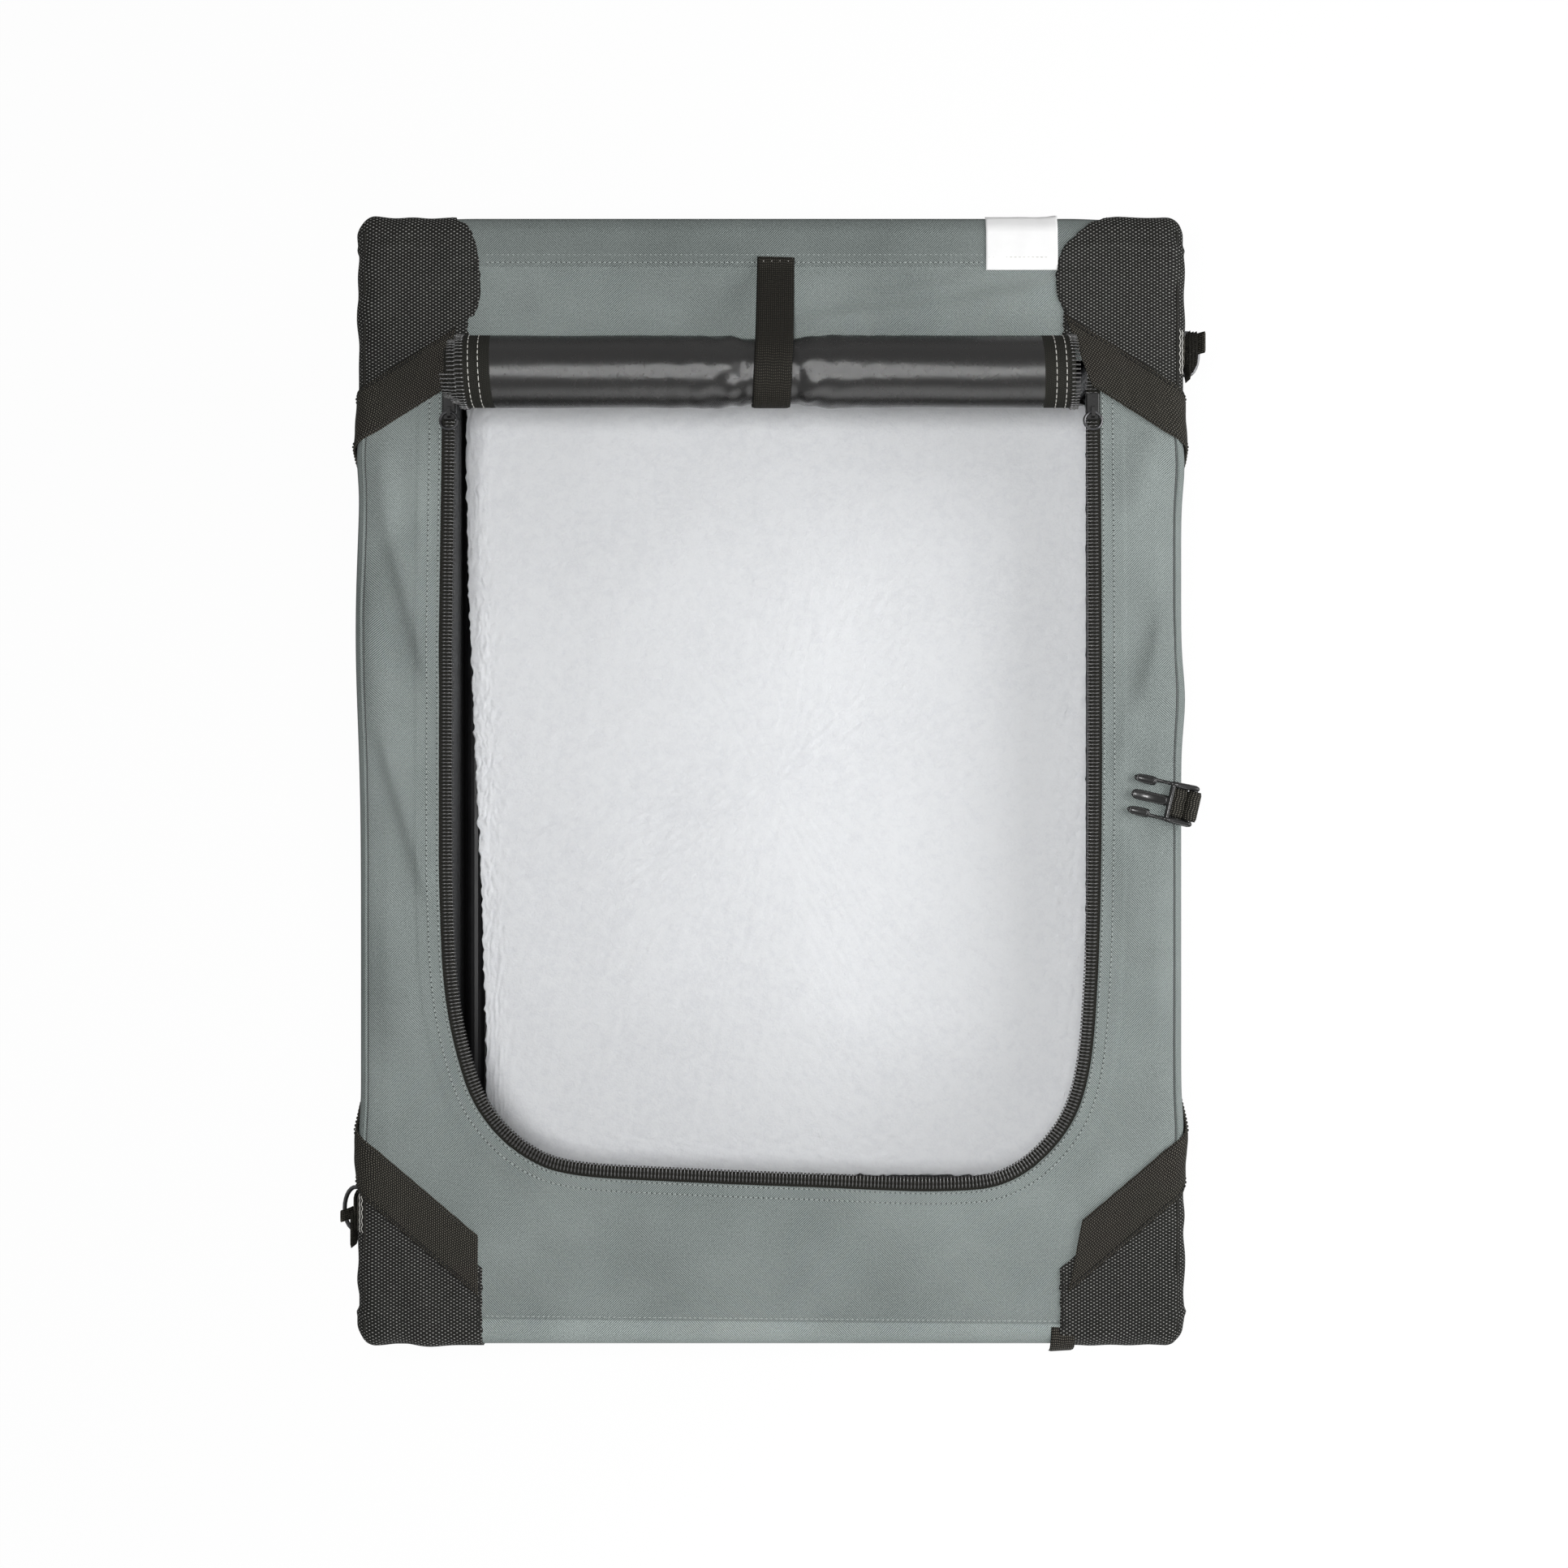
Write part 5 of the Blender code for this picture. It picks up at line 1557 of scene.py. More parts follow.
@dataclass(frozen=True)
class CornerPatch(Corner):
    """Coarse black cloth over one corner of the roof, down both walls."""
    inner: float = 0.1935
    drop: float = 0.06
    lift: float = 0.0013
    cloth: float = 0.001
    edges: tuple[tuple[float, float], ...] = ((0.29, 0.0), (0.38, 0.0))

    def round_corner(self, places: Array) -> Array:
        """Draw the square past both edges into a quarter circle: scaled by its longer side over its
        diagonal.

        Args:
            places: on the square patch.

        Returns:
            Places on the rounded one.
        """
        limit = np.array([COVER.frame_x, COVER.frame_y])
        past = np.maximum(places - limit, 0.0)
        scale = past.max(-1) / np.maximum(np.hypot(past[..., 0], past[..., 1]), 1e-9)
        both = (past.min(-1) > 0)[..., None]
        return np.where(both, limit + past * scale[..., None], places)

    def crease(self, places: Array) -> Array:
        """Soft waves, with a fold across the patch just before the end's edge, as a bell curve.

        Args:
            places: on the patch.

        Returns:
            The height over its plane.
        """
        over = (places[..., 1] - 0.3585 - 0.0015 * np.sin(places[..., 0] * 60)) / 0.0022
        waves = bumps(places, 41 + self.number, 0.02, 0.06) * 0.0008 + 0.0006
        return np.maximum(waves + 0.0011 * np.exp(-over**2), -0.0002)

    def build(self) -> None:
        """Make the patch and the piping on its edges."""
        hem = HEMS[self.end]
        reach = COVER.turn + self.drop - COVER.edge
        far_u, far_v = COVER.frame_x + reach, COVER.frame_y + reach
        s, t = np.meshgrid(np.linspace(0.0, 1.0, 72), np.linspace(0.0, 1.0, 96))
        u = self.inner + s * (far_u - self.inner)
        v = hem.at(u) + t * (far_v - hem.at(u))
        heights, shifts = np.array(self.edges).T
        fray = 0.00035 * bumps(np.stack([v, 0 * v], -1), 4, 0.003, 0.008)
        u = u + (1 - s) ** 3 * (np.interp(v, heights, shifts) + fray)
        flat = self.round_corner(np.stack([u, v], -1))
        places = flat * self.sign
        loose = (s * (1 - s) * 8).clip(0, 1) * ease(t, 0.13, 0.3)
        points, _ = COVER.lay(places, self.lift + ROOF.relief(places) + self.crease(flat) * loose)
        mesh = grid_mesh(f"corner_weave_{self.word}", points, places, flip=self.mirrored)
        patch = place(mesh, LOOK.patch, "top_frame", (f"corner_patch_{self.word}",))
        thicken(patch, self.cloth)
        far_u - self.inner
        far_v - hem.at(far_u)
        self.finish_edges(hem, far_v)

    def finish_edges(self, hem: Hem, far_v: float) -> None:
        """Stitch the inner edge, and pipe the long edge up to the corner.

        Args:
            hem: the patch's.
            far_v: where it ends along the roof.
        """
        v = np.linspace(hem.inner + 0.004, far_v - 0.045, 60)
        heights, shifts = np.array(self.edges).T
        row = np.stack([self.inner + 0.0022 + np.interp(v, heights, shifts), v], 1) * self.sign
        COVER.sew(f"patch_stitches_{self.word}", row, LOOK.black_thread, 0.0032,
                  self.lift + 0.0003, 0.0007)
        run = COVER.frame_x + COVER.edge * ROOF.pipe_angle
        line = np.stack([np.full(60, run), np.linspace(hem.at(run) - 0.01, COVER.frame_y + 0.002, 60)], 1)
        points, _ = COVER.lay(line * self.sign, self.lift + 0.0003)
        piping = tube(f"patch_piping_{self.word}", points, 0.0009)
        place(piping, LOOK.binding, "top_frame")


@dataclass(frozen=True)
class HemWebbing(Corner):
    """The webbing sewn along a patch's hem, over the long edge and down the wall."""
    starts: Point
    width: float = 0.031
    drop: float = 0.055
    lift: float = 0.0029
    webbing: float = 0.0013

    def build(self) -> None:
        """A band whose places are the hem's line plus a share of the width square to it."""
        hem = HEMS[self.end]
        way = unit(np.array([1.0, -hem.slope]))
        t = np.linspace(-1.0, 1.0, 19)[:, None] * np.ones(100)
        first = np.interp(t[:, :1], (-1.0, 1.0), (self.starts[1], self.starts[0]))
        last = COVER.frame_x + COVER.turn + self.drop
        u = first + (last - first) * np.linspace(0.0, 1.0, 100)[None, :]
        half = self.width / 2 * math.hypot(1.0, hem.slope)
        places = np.stack([u, hem.at(u) + t * half], -1)
        edge = 0.0004 * np.abs(t) ** 10
        crown = bumps(places, 31 + self.number, 0.012, 0.05) * 0.00022
        laid = places * self.sign
        points, _ = COVER.lay(laid, self.lift - edge + crown + ROOF.relief(laid))
        along = (places - places[:, :1]) @ way
        weave = np.stack([t * self.width / 2, along], -1)
        mesh = grid_mesh(f"hem_band_{self.word}", points, weave, flip=self.mirrored)
        band = place(mesh, LOOK.webbing, "top_frame", (f"hem_webbing_{self.word}",))
        thicken(band, self.webbing)
        for number, share in enumerate((-0.86, 0.86)):
            run = u[0] * (1 - share) / 2 + u[-1] * (1 + share) / 2
            row = np.stack([run, hem.at(run) + share * half], 1)[2:-2] * self.sign
            COVER.sew(f"band_stitches_{self.word}_{number}", row, LOOK.black_thread,
                      lift=self.lift + 0.0001, thick=0.0008)


@dataclass(frozen=True)
class LooseEnd:
    """The cut end of a webbing that comes out from under the front right patch."""
    path: tuple[tuple[float, float, float], ...] = (
        (0.196, -0.366, 0.5405), (0.1957, -0.371, 0.5407), (0.1954, -0.3755, 0.5398),
        (0.1952, -0.38, 0.537), (0.195, -0.3826, 0.5325), (0.1949, -0.3836, 0.528))
    width: float = 0.0165
    webbing: float = 0.0013

    def build(self) -> None:
        """A short band that bends over the front edge."""
        path = spaced(np.array(self.path), 0.0012)
        across = ALONG_X + 0.06 * ALONG_Y
        mesh = strip("loose_webbing_end", path, across, self.width, self.webbing, 10)
        place(mesh, LOOK.webbing, "top_frame")


@dataclass(frozen=True)
class RingTab:
    """The webbing loop that holds a wire ring, with the layers that are sewn behind it."""
    side: Side
    layers: tuple[tuple[float, float, float, float], ...]
    zigzags: Point = (0.2742, 0.2768)
    zigzag_ends: Point = (0.2735, 0.303)
    inset: float = 0.086
    drop: float = 0.034
    width: float = 0.025
    webbing: float = 0.0013
    wire: float = 0.0018

    def build(self) -> None:
        """A loop round the ring's bar between two legs, and flat layers fanned outside it."""
        sign, word = self.side.value, self.side.word
        y = sign * (COVER.half_length - self.inset)
        x = COVER.half_width + 0.0016 + self.wire + self.webbing
        z = COVER.height - self.drop
        around = self.wire + self.webbing / 2
        angle = np.linspace(math.pi, 2 * math.pi, 24)
        bend = np.stack([x + around * np.cos(angle), z + around * np.sin(angle)], 1)
        up = np.stack([np.full(10, x - around), np.linspace(COVER.height - 0.012, z, 11)[:-1]], 1)
        back = np.stack([x + around - 0.0002 * np.arange(1, 9), np.linspace(z, z + 0.017, 9)[1:]], 1)
        line = np.vstack([up, bend, back])
        path = np.column_stack([sign * line[:, 0], np.full(len(line), y), line[:, 1]])
        mesh = strip(f"ring_loop_{word}", path, ALONG_Y, self.width, self.webbing, 10)
        place(mesh, LOOK.webbing, "top_frame", (f"ring_tab_{word}",))
        t = np.linspace(0.0, 1.0, 14)
        for number, (low, high, from_x, to_x) in enumerate(self.layers):
            line = np.column_stack([sign * (from_x + (to_x - from_x) * t**1.6),
                                    np.full(14, sign * (low + high) / 2), COVER.height - 0.028 + 0.017 * t])
            mesh = strip(f"ring_layer_{word}_{number}", line, ALONG_Y, abs(high - low), self.webbing, 10)
            place(mesh, LOOK.webbing, "top_frame")
        rows = np.linspace(*self.zigzag_ends, 12)
        for number, u in enumerate(self.zigzags):
            line = np.array([(u + 0.0007 * (-1) ** k, v) for k, v in enumerate(rows)]) * sign
            points, _ = COVER.lay(spaced(line, 0.0008), 0.0018)
            cord = tube(f"ring_tab_zigzag_{word}_{number}", points, 0.00032, 6)
            place(cord, LOOK.pale_thread, "top_frame")


@dataclass(frozen=True)
class Buckle:
    """The side release buckle: a plug of rounded bars and arms on a webbing tab, over its socket."""
    y: float = -0.017
    turn: float = math.radians(13.0)
    lift: float = 0.0035
    wide: float = 0.02
    webbing: float = 0.0013
    loop: float = 0.00331
    drop: float = 0.045
    arm: float = 0.012
    head: float = 0.011
    second_bar: float = 0.015
    window: tuple[Point, ...] = (
        (0.0049, -0.0006), (0.0056, 0.0009), (0.0075, 0.0014), (0.011, 0.0013), (0.0134, 0.0008))
    bar: Tiny = Tiny((
        (-0.0128, 0.003, 0.0034, 0.0), (-0.01, 0.0038, 0.0044, 0.0),
        (0.01, 0.0038, 0.0044, 0.0), (0.0128, 0.003, 0.0034, 0.0)), 12)
    rail: Tiny = Tiny((
        (-0.0024, 0.0014, 0.002, 0.0), (-0.0016, 0.0034, 0.0044, 0.0), (0.0005, 0.0044, 0.0056, 0.0),
        (0.012, 0.0038, 0.0052, 0.0), (0.0158, 0.0034, 0.0046, 0.0), (0.017, 0.0018, 0.0028, 0.0)), 12)
    neck: Tiny = Tiny((
        (0.015, 0.0026, 0.0036, 0.0), (0.02, 0.0024, 0.0034, 0.0), (0.029, 0.0026, 0.0034, 0.0)), 10)
    lobe: Tiny = Tiny((
        (0.0268, 0.0026, 0.003, 0.0), (0.0276, 0.0056, 0.004, 0.0), (0.03, 0.0062, 0.0046, 0.0),
        (0.035, 0.006, 0.0048, 0.0), (0.0385, 0.0052, 0.0044, 0.0), (0.0408, 0.0036, 0.0034, 0.0),
        (0.042, 0.0012, 0.0014, 0.0)), 14)
    tongue: Tiny = Tiny((
        (0.015, 0.0068, 0.003, 0.0), (0.036, 0.007, 0.0028, 0.0), (0.0392, 0.0062, 0.0026, 0.0),
        (0.0408, 0.004, 0.0022, 0.0), (0.0414, 0.0014, 0.001, 0.0)), 14)

    def plug(self, hinge: Array, way: Array, across: Array) -> None:
        """Loft the plug's bars, arms, heads and tongue in its own frame, and fill its window with webbing.

        Args:
            hinge: the middle of the plug's bar.
            way: where the arms point.
            across: along the bar.
        """
        meshes = []
        for shape, places in ((self.bar, ((0.0, 0.0), (self.second_bar, 0.0))),
                              (self.rail, ((0.0, self.arm), (0.0, -self.arm))),
                              (self.neck, ((0.0, self.arm), (0.0, -self.arm))),
                              (self.lobe, ((0.0, self.head), (0.0, -self.head))),
                              (self.tongue, ((0.0, 0.0),))):
            seats = np.array([hinge + s * way + t * across for s, t in places])
            along = np.repeat([across if shape is self.bar else way], len(places), 0)
            meshes.append(shape.repeat("plug_part", seats, along, np.repeat([ALONG_Z], len(places), 0)))
        angle = np.linspace(0.0, 2 * math.pi, 48, endpoint=False)
        bow = np.stack([np.cos(angle), np.sin(angle)], 1)
        bow = np.sign(bow) * np.abs(bow) ** 0.55
        for middle, long, t, wide, height in ((0.0345, 0.0058, self.head, 0.0021, 0.0017),
                                              (0.0345, 0.0058, -self.head, 0.0021, 0.0017),
                                              (0.029, 0.0112, 0.0, 0.0027, 0.0009)):
            line = hinge + height * ALONG_Z + (
                (middle + long * bow[:, :1]) * way + (t + wide * bow[:, 1:]) * across)
            meshes.append(tube("plug_rim", line, 0.00062, 8, True))
        plug = join(meshes, "side_release_plug")
        place(plug, LOOK.plastic, "buckle_plug", ("buckle_plug",))
        run = np.array(self.window)
        path = hinge + run[:, :1] * way + run[:, 1:] * ALONG_Z
        mesh = strip("buckle_plug_webbing", path, across, self.wide, self.webbing, 10)
        place(mesh, LOOK.webbing, "buckle_plug")

    def build(self) -> None:
        """Make the plug, soften the socket, and loop the tab round the plug's bar."""
        softened("buckle_socket", LOOK.plastic, "base", 0.0006, "side_release_socket")
        outer = self.loop + self.webbing
        skew = self.wide / 2 * math.sin(self.turn)
        hinge = np.array([COVER.half_width + 0.0003 + skew + outer / 2, self.y, COVER.height + self.lift])
        around = self.loop + self.webbing / 2
        leg = (self.webbing - outer) / 2
        first = math.pi + math.acos(-leg / around)
        angle = np.linspace(first, first - 2 * math.pi + 0.5, 40)
        bend = np.stack([around * np.cos(angle), around * np.sin(angle)], 1)
        rise = np.stack([np.full(20, leg), np.linspace(-self.drop, bend[0, 1] - 0.0008, 20)], 1)
        back = leg + self.webbing + 0.0003
        fall = np.stack([np.full(10, back), np.linspace(bend[-1, 1] - 0.001, -0.018, 10)], 1)
        line = np.vstack([rise, bend, fall])
        way = np.array([math.cos(self.turn), -math.sin(self.turn), 0.0])
        across = np.array([math.sin(self.turn), math.cos(self.turn), 0.0])
        path = hinge + line[:, :1] * way + line[:, 1:] * ALONG_Z
        mesh = strip("buckle_tab_webbing", path, across, self.wide, self.webbing, 10)
        place(mesh, LOOK.webbing, "top_frame", ("buckle_tab",))
        self.plug(hinge, -way, across)


# The mat


@dataclass(frozen=True)
class FleeceMat:
    """The padded mat: curly fleece above, drawn in towards its bound edge, lying over the side rails."""
    half_x: float = 0.2746
    wall_x: float = 0.275
    half_y: float = 0.3455
    top: float = 0.0282
    foot: float = 0.0018
    rail: float = 0.0222
    corner: float = 0.022
    pile: float = 0.000352
    edge_pile: float = 0.0008
    curl: float = 0.0013
    swell: float = 0.001
    columns: int = 700

    def shape(self) -> bpy.types.Mesh:
        """A closed pad. Its outline is a rounded rectangle scaled from the middle, its top falls
        towards the edge as the 14th power of the scale, with curls along the left edge, and its
        underside rises over the rails.

        Returns:
            The closed mesh.
        """
        angle = np.linspace(0.0, 2 * math.pi, self.columns, endpoint=False)
        loop = rounded_loop((-self.half_x, -self.half_y), (self.half_x, self.half_y), self.corner)
        rim = ray_hits(spaced(loop, 0.002, True), angle, np.zeros(2))
        left = ease(-rim[:, 0], 0.2, 0.26) * (0.004 + 0.018 * ease(-rim[:, 1], -0.3, 0.3))
        rim = rim + np.stack([left, 0 * left], 1)
        share = stages((0.02, 0.9, 66), (0.9, 1.0, 30))
        spots = share[:, None, None] * rim[None]
        fall = share[:, None] ** 14
        swell = bumps(spots, 3, 0.1, 0.3) * self.swell
        curly = ease(share, 0.9, 0.975)[:, None] * ease(-rim[:, 0], 0.2, 0.25)
        curls = np.abs(bumps(spots, 24, 0.006, 0.011, 24)) * self.curl - 0.0008
        high = self.top - 0.0026 * fall + swell * (1 - fall) - self.swell + curls * curly
        upper = np.concatenate([spots, high[..., None]], -1)
        halfway = np.full((self.columns, 1), (self.top + self.rail) / 2 - 0.0006)
        middle = np.concatenate([rim * 1.004, halfway], -1)[None]
        spots = stages((1.0, 0.9, 12), (0.9, 0.02, 12))[:, None, None] * rim[None]
        x, y = np.abs(spots[..., 0]), np.abs(spots[..., 1])
        inside = np.minimum(1 - ease(x, 0.246, 0.256), 1 - ease(y, 0.342, 0.346))
        low = self.rail + (self.foot - self.rail) * inside
        lower = np.concatenate([spots, low[..., None]], -1)
        points = capped(np.concatenate([upper, middle, lower]))
        mesh = grid_mesh("fleece_mat", points, None, True, merge=True)
        tidy(mesh, True)
        return mesh

    def build(self) -> None:
        """Shape the pad and curl its pile."""
        mesh = self.shape()
        points = np.empty(len(mesh.vertices) * 3)
        mesh.vertices.foreach_get("co", points)
        points = points.reshape(-1, 3)
        upper = ease(points[:, 2], self.rail + 0.001, self.top - 0.004)
        x, y = np.abs(points[:, 0]), np.abs(points[:, 1])
        edge = np.maximum(ease(x, 0.244, 0.256), ease(y, 0.325, 0.338))
        points[:, 2] += bumps(points, 21, 0.006, 0.012, 24) * self.pile * upper
        sway = np.stack([bumps(points, seed, 0.006, 0.016, 20) for seed in (22, 23)], 1)
        points[:, :2] += sway * self.edge_pile * (edge * upper)[:, None]
        points[:, 0] = np.clip(points[:, 0], -self.wall_x, self.wall_x)
        points[:, 2] = np.minimum(points[:, 2], self.top + 0.001)
        mesh.vertices.foreach_set("co", points.ravel())
        mesh.update()
        mat = place(mesh, LOOK.fleece, "base", ("mat",))


# Walls, windows and the front door


@dataclass(frozen=True)
class Sheet:
    """A wall's place: how (across, height) on the laid-flat wall becomes a point."""
    end: End | None
    side: Side | None

    def lay(self, places: Array, lift: "float | Array" = 0.0) -> Array:
        """Side walls are flat. End walls go on round the cover's upright edges.

        Args:
            places: (across, height) on the wall.
            lift: how far outside it.

        Returns:
            The points.
        """
        u, z = places[..., 0], places[..., 1]
        lift = np.asarray(lift) + 0 * u
        if self.side is not None:
            return np.stack([self.side.value * (COVER.half_width + lift), u, z], -1)
        past = np.clip(np.abs(u) - COVER.frame_x, 0.0, None)
        angle = np.minimum(past / COVER.edge, math.pi / 2)
        out = COVER.edge + lift
        x = np.sign(u) * (np.minimum(np.abs(u), COVER.frame_x) + out * np.sin(angle))
        y = COVER.frame_y + out * np.cos(angle)
        return np.stack([x, self.end.value * y, z], -1)

    @property
    def turned(self) -> bool:
        """Whether a grid of places, rows up and columns across, faces inwards."""
        return self.side is Side.LEFT or self.end is End.REAR


@dataclass(frozen=True)
class Wall:
    """One grey wall with a black lining, a hole in it and the tape that binds the hole."""
    name: str
    sheet: Sheet
    half: float
    hole_half: float
    hole_low: float
    hole_high: float
    hole_radius: float
    low: float = 0.0453
    high: float = 0.4947
    keep: float = 0.0844
    binding: float = 0.009

    @property
    def closed(self) -> bool:
        """Whether the hole ends below the wall's top, as a window's does and the doorway's doesn't."""
        return self.hole_high < self.high

    def hole(self, grow: float = 0.0) -> Array:
        """The hole's outline, grown by a distance. The doorway's is open at the wall's top.

        Args:
            grow: how far outside the hole.

        Returns:
            The outline's points.
        """
        half, low, radius = self.hole_half + grow, self.hole_low - grow, self.hole_radius + grow
        if self.closed:
            return spaced(rounded_loop((-half, low), (half, self.hole_high + grow), radius), 0.004, True)
        turn = np.linspace(0.0, math.pi / 2, 12)
        right = np.stack([half - radius * (1 - np.sin(turn)), low + radius * (1 - np.cos(turn))], 1)
        left = right[::-1] * np.array([-1.0, 1.0])
        return spaced(np.vstack([[(-half, self.high)], left, right, [(half, self.high)]]), 0.004)

    def drape(self, places: Array) -> Array:
        """How far the cloth stands off its plane: soft waves that die out at the wall's edges.

        Args:
            places: on the wall.

        Returns:
            The distance at each place.
        """
        spread = np.sin(np.pi * np.clip((places[..., 1] - self.low) / (self.high - self.low), 0.0, 1.0))
        slack = np.clip(1 - np.abs(places[..., 0]) / self.half, 0.0, 1.0) ** 0.5 * spread
        return bumps(places * np.array([1.0, 0.45]), len(self.name), 0.04, 0.16) * 0.0016 * slack

    def build(self) -> None:
        """The cloth goes from the hole to the wall's outline, along rays from the hole's middle."""
        centre = np.array([0.0, (self.hole_low + min(self.hole_high, self.high)) / 2])
        outer = np.array([(self.half, self.low), (self.half, self.high), (-self.half, self.high),
                          (-self.half, self.low)])
        rim = spaced(outer, 0.006, True)
        angles = np.arctan2(*(rim - centre).T[::-1])
        inner = ray_hits(self.hole_ring(), angles, centre)
        places = between(inner, rim, np.linspace(0.0, 1.0, 20))
        points = self.sheet.lay(places, self.drape(places))
        mesh = grid_mesh(f"{self.name}_cloth", points, places, True, flip=not self.sheet.turned)
        wall = place(mesh, [LOOK.grey, LOOK.lining], "base", (self.name,))
        thicken(wall, COVER.skin, lining=1)
        self.fold(wall, self.low)
        self.bind()

    def fold(self, piece: bpy.types.Object, anchor: float) -> None:
        """Give a piece of the wall a mesh of its own."""
        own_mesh(piece)

    def hole_ring(self) -> Array:
        """The hole as a closed outline, across the wall's top where it is open there.

        Returns:
            The outline's points.
        """
        hole = self.hole()
        if self.closed:
            return hole
        return np.vstack([hole, np.linspace(hole[-1], hole[0], 90)[1:-1]])

    def bind(self) -> None:
        """Tape round the hole, lying half on the cloth."""
        rows = [self.hole(self.binding * share) for share in (-0.4, 0.0, 0.5, 1.0)]
        count = min(len(row) for row in rows)
        places = np.stack([resample(row, count, self.closed) for row in rows])
        lift = np.array([0.0003, 0.0008, 0.0011, 0.0007])[:, None]
        points = self.sheet.lay(places, lift + self.drape(places))
        weave = pairs(np.linspace(0, self.binding * 1.4, 4)[:, None],
                      np.arange(count + int(self.closed))[None, :] * 0.004)
        mesh = grid_mesh(f"{self.name}_binding", points, weave, self.closed, flip=not self.sheet.turned)
        tape = place(mesh, LOOK.binding, "base")
        thicken(tape, 0.001)
        self.fold(tape, self.low)


@dataclass(frozen=True)
class Window:
    """The mesh panel in a wall's hole."""
    name: str
    wall: Wall

    def build(self) -> None:
        """Rings from the hole's outline to its middle, sagging a little inwards."""
        wall = self.wall
        loop = wall.hole(0.0022)
        centre = np.array([0.0, (wall.hole_low + wall.hole_high) / 2])
        share = np.linspace(1.0, 0.0, 26)[:, None, None]
        places = centre + (loop - centre)[None] * share
        sag = -0.0016 * (1 - share[..., 0] ** 2) - 0.0004
        points = wall.sheet.lay(places, sag)
        mesh = grid_mesh(f"{self.name}_net", points, places, True, merge=True, flip=wall.sheet.turned)
        net = place(mesh, LOOK.net, "base", (self.name,))
        wall.fold(net, wall.low)


@dataclass(frozen=True)
class FrontDoor:
    """The front door: a net panel in a cloth border, closed by a coil zip round its U."""
    wall: Wall
    top: float = 0.4941
    head: float = 0.03
    border: float = 0.04

    def outline(self, inset: float) -> Array:
        """The doorway's outline drawn in by an inset, and cut off at the door's top."""
        line = self.wall.hole(-inset)
        return np.stack([line[:, 0], np.minimum(line[:, 1], self.top)], 1)

    def build(self) -> None:
        """A net with a cloth border, both from the doorway's outline inwards, and the zip along it."""
        sheet, half, below = self.wall.sheet, self.wall.hole_half, self.top - self.head
        outer = self.outline(0.0006)
        inner = resample(self.wall.hole(-self.border), len(outer))
        inner[:, 1] = np.minimum(inner[:, 1], below)
        middle = np.repeat([(0.0, below)], len(inner), 0)
        u, z = np.meshgrid(np.linspace(0.001 - half, half - 0.001, 60), np.linspace(below, self.top, 8))
        share = np.linspace(0.0, 1.0, 14)
        pieces = []
        for name, places, lift, finish, slot, node in (
                ("border", between(outer, inner, share), -0.0004, LOOK.coated, "black_coated_fabric", ()),
                ("net", between(inner, middle, share), -0.0004, LOOK.net, "black_mesh", ("front_door",)),
                ("head", np.stack([u, z], -1), 0.0, LOOK.coated, "black_coated_fabric", ())):
            mesh = grid_mesh(f"front_door_{name}", sheet.lay(places, lift), places, merge=name != "head",
                             flip=sheet.turned)
            pieces.append(place(mesh, finish, "front_door", node))
        border, net, head = pieces
        thicken(border, 0.001)
        thicken(head, 0.001)
        hems = [border, head, self.zip_up()]
        for piece in (net, *hems):
            self.wall.fold(piece, self.top)

    def zip_up(self) -> bpy.types.Object:
        """The closed coil zip round the door's U, as a row of small ribs along the doorway's edge.

        Returns:
            The zip.
        """
        seats = spaced(self.outline(0.0066), 0.0026)
        points = self.wall.sheet.lay(seats, 0.0004)
        out = np.repeat([self.wall.sheet.end.value * ALONG_Y], len(points), 0)
        across = np.cross(tangents(points), out)
        rib = Tiny(((-0.0024, 0.0005, 0.0005, 0.0003), (-0.002, 0.001, 0.0013, 0.0004),
                    (0.0, 0.0009, 0.001, 0.0004), (0.002, 0.001, 0.0013, 0.0004),
                    (0.0024, 0.0005, 0.0005, 0.0003)))
        mesh = rib.repeat("front_door_zip", points, across, out)
        return place(mesh, LOOK.coil, "front_door")


@dataclass(frozen=True)
class FloorTray:
    """The stiff rim and the floor of the cover, grey outside and black within, and the rims' piping."""
    rims: tuple[tuple[str, float, str], ...] = (
        ("floor_rim_piping", 0.0452, "base"), ("roof_rim_piping", 0.4949, "top_frame"))

    def build(self) -> None:
        """The roof's laying turned upside down, without an opening."""
        rim, ways = rim_path(COVER.frame_x, COVER.frame_y, 0.007)
        flat = rim[None] * np.linspace(0.0, 1.0, 12)[:, None, None]
        places = np.concatenate([flat, rim[None] + ways[None] * COVER.skirt[:, None, None]])
        points, _ = Cover(folds=(), bulges=()).lay(places)
        points[..., 2] = COVER.height - points[..., 2]
        mesh = grid_mesh("floor_tray_cover", points, places, True, merge=True)
        tray = place(mesh, [LOOK.grey, LOOK.lining], "base", ("floor_panel",))
        thicken(tray, COVER.skin, lining=1)
        loop, normal = rim_path(COVER.frame_x, COVER.frame_y, 0.008, 9)
        line = loop + normal * (COVER.edge + 0.0003)
        for name, z, body in self.rims:
            path = np.column_stack([line, np.full(len(line), z)])
            place(tube(name, path, 0.0013, 8, True), LOOK.binding, body)


# The frame


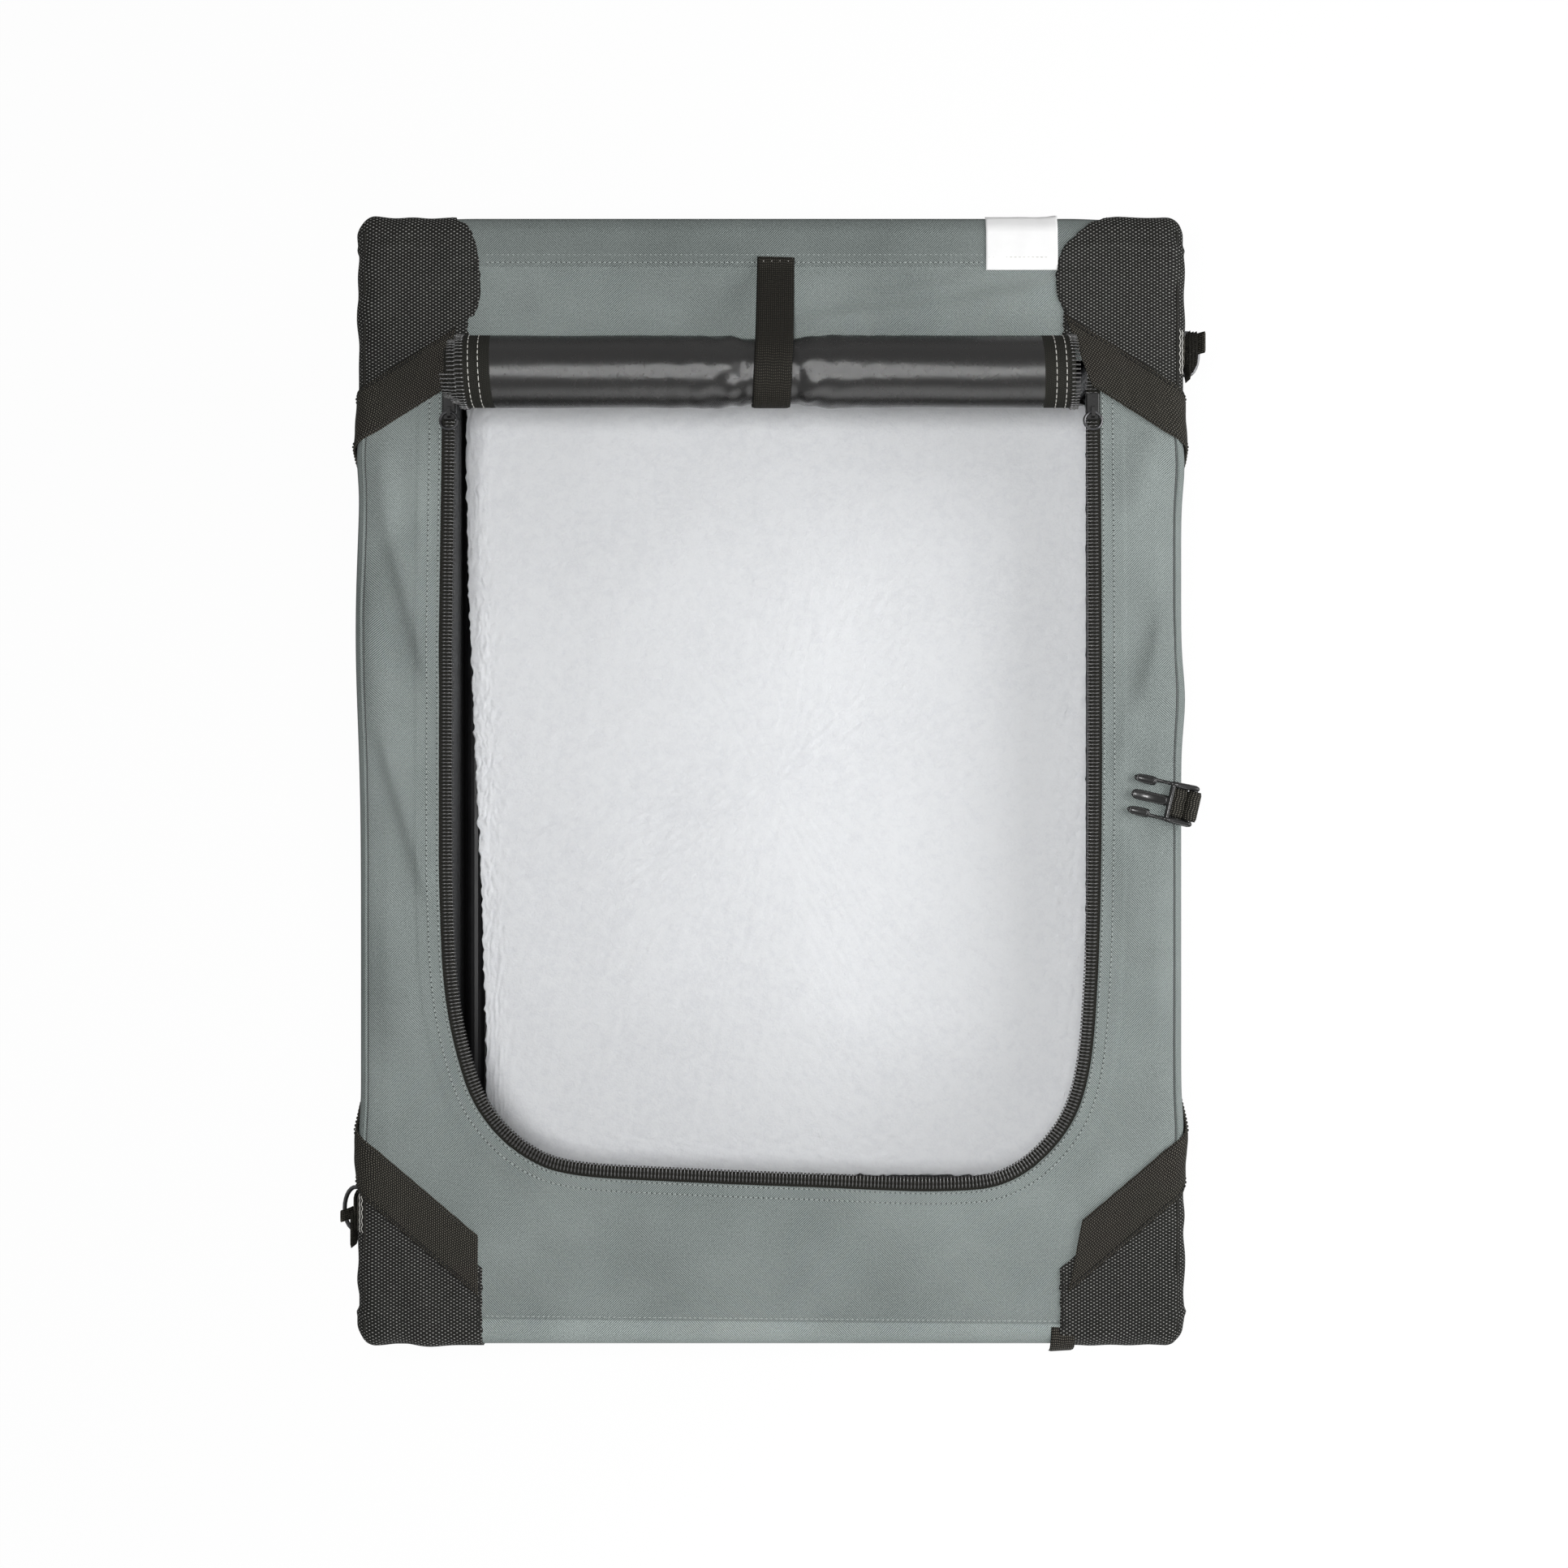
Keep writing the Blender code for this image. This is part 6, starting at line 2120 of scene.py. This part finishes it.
@dataclass(frozen=True)
class Frame:
    """Tubes, mouldings, sliders and rings: the model's own solids with their finishes."""
    finishes: tuple[tuple[str, str], ...] = (
        ("base_rail_", "tubing"), ("top_rail_", "tubing"),
        ("lower_post_", "tubing"), ("upper_post_", "tubing"),
        ("base_corner_", "plastic"), ("top_corner_", "plastic"), ("zip_slider_", "plastic"),
        ("zip_pull_", "steel"), ("strap_ring_", "steel"))

    def build(self) -> None:
        """Give each shown node the finish that its name asks for."""
        for name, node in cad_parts.items():
            for start, finish in self.finishes:
                if name.startswith(start):
                    for slot in node.material_slots:
                        slot.material = getattr(LOOK, finish)
                    LOG.info("%s: finished as %s", name, finish)


REAR_LEFT_EDGE = ((0.296, 0.0092), (0.3095, 0.0092), (0.3122, 0.0049), (0.3209, 0.0022), (0.3302, 0.0011),
                  (0.3481, 0.0022), (0.36, 0.0042), (0.372, 0.01), (0.377, 0.017), (0.395, 0.02),
                  (0.43, 0.006))
REAR_RIGHT_EDGE = ((0.296, 0.002), (0.315, 0.002), (0.3193, 0.0008), (0.3247, -0.0015), (0.3374, -0.0027),
                   (0.3501, -0.0006), (0.3574, 0.0022), (0.3646, 0.0094), (0.374, 0.0205), (0.385, 0.03),
                   (0.43, 0.008))


# The studio


@dataclass(frozen=True)
class Studio:
    """A white floor under soft light, and the camera straight above."""
    camera: tuple[float, float, float] = (0.0087, -0.0019, 2.165)
    lens: float = 55.7
    floor_half: float = 6.0
    ambient: float = 0.12
    aim: tuple[float, float, float] = (0.0, 0.0, 0.3)
    lamps: tuple[tuple[str, tuple[float, float, float], float, float], ...] = (
        ("overhead", (-0.025, 0.005, 2.2), 0.1, 30.0), ("right", (1.3, 0.1, 1.2), 1.0, 21.0),
        ("front", (0.2, -2.2, 0.8), 1.0, 22.0))

    def build(self) -> None:
        """Make the camera, the lamps, the world and the floor."""
        scene = bpy.context.scene
        lens = bpy.data.cameras.new("camera")
        lens.lens, lens.sensor_width = self.lens, 36.0
        camera = bpy.data.objects.new("camera", lens)
        camera.location = self.camera
        scene.collection.objects.link(camera)
        scene.camera = camera
        scene.view_settings.view_transform = "Standard"
        for name, spot, size, power in self.lamps:
            lamp = bpy.data.lights.new(name, "AREA")
            lamp.shape, lamp.size, lamp.energy = "SQUARE", size, power
            obj = bpy.data.objects.new(name, lamp)
            obj.location = spot
            obj.rotation_euler = (Vector(self.aim) - Vector(spot)).to_track_quat("-Z", "Y").to_euler()
            scene.collection.objects.link(obj)
        self.light_world(scene)
        self.lay_floor()

    def light_world(self, scene: bpy.types.Scene) -> None:
        """Ambient light, and plain white where the camera or a gloss sees past everything.

        Args:
            scene: to light.
        """
        n = Nodes(bpy.data.worlds.new("studio"))
        scene.world = n.owner
        path = n.add("ShaderNodeLightPath").socket.node
        camera, glossy, through = (
            Wire(n, path.outputs[f"Is {kind} Ray"]) for kind in ("Camera", "Glossy", "Transmission"))
        seen = n.add("ShaderNodeMath", {"operation": "ADD", "use_clamp": True},
                     {0: camera + glossy, 1: through})
        ambient, white = (n.add("ShaderNodeBackground", None, {"Color": WHITE, "Strength": strength})
                          for strength in (self.ambient, 1.0))
        n.output("World", n.add("ShaderNodeMixShader", None, {0: seen, 1: ambient, 2: white}))

    def lay_floor(self) -> None:
        """A floor that shows as white to the camera and keeps a faint shadow."""
        n = Nodes.material("studio_floor")
        grain = n.noise(n.place(), 4.0, 2.0)
        colour = n.mix(grain, (0.86, 0.86, 0.86), (0.88, 0.88, 0.88))
        cloth = n.add("ShaderNodeBsdfPrincipled", None, {"Base Color": colour, "Roughness": 0.9})
        glow = n.add("ShaderNodeEmission", None, {"Color": WHITE, "Strength": 1.0})
        seen = n.add("ShaderNodeLightPath") * 0.95
        n.output("Material", n.add("ShaderNodeMixShader", None, {0: seen, 1: cloth, 2: glow}))
        spots = np.linspace(-self.floor_half, self.floor_half, 9)
        x, y = np.meshgrid(spots, spots)
        mesh = grid_mesh("studio_floor", np.stack([x, y, 0 * x - 0.0002], -1))
        mesh.materials.append(n.owner)
        floor = bpy.data.objects.new("studio_floor", mesh)
        bpy.context.scene.collection.objects.link(floor)


def main() -> None:
    """Build the carrier's pieces in order, then the studio."""
    logging.basicConfig(level=logging.INFO, format="%(message)s")
    Frame().build()
    FloorTray().build()
    ROOF.build()
    RoofZip().build()
    door = RolledDoor()
    door.build()
    RollStrap().build(door)
    CareLabel().build()
    for side, edge in ((Side.LEFT, REAR_LEFT_EDGE), (Side.RIGHT, REAR_RIGHT_EDGE)):
        line = smooth_path(edge)
        CornerPatch(End.REAR, side, edges=tuple(map(tuple, line.tolist()))).build()
        CornerPatch(End.FRONT, side).build()
    for end, side, ends in (
            (End.REAR, Side.LEFT, (0.2109, 0.2201)), (End.REAR, Side.RIGHT, (0.1967, 0.2147)),
            (End.FRONT, Side.LEFT, (0.1962, 0.1962)), (End.FRONT, Side.RIGHT, (0.199, 0.2082))):
        HemWebbing(end, side, ends).build()
    LooseEnd().build()
    RingTab(Side.RIGHT, ((0.271, 0.3041, 0.2822, 0.2826), (0.2758, 0.3035, 0.2836, 0.2848),
                         (0.2802, 0.3035, 0.285, 0.287), (0.2889, 0.3035, 0.2866, 0.2925))).build()
    RingTab(Side.LEFT, ((0.2895, 0.315, 0.2822, 0.2832), (0.2893, 0.2975, 0.285, 0.29))).build()
    Buckle().build()
    FleeceMat().build()
    side_half, end_half = COVER.frame_y, COVER.frame_x + COVER.turn
    for side in Side:
        wall = Wall(f"side_wall_{side.word}", Sheet(None, side), side_half, 0.24, 0.13, 0.41, 0.04)
        wall.build()
        Window(f"side_window_{side.word}", wall).build()
    rear = Wall("rear_wall", Sheet(End.REAR, None), end_half, 0.16, 0.13, 0.41, 0.04)
    rear.build()
    Window("rear_window", rear).build()
    front = Wall("front_wall", Sheet(End.FRONT, None), end_half, 0.185, 0.085, 0.54, 0.06)
    front.build()
    FrontDoor(front).build()
    Studio().build()


if __name__ == "__main__":
    main()
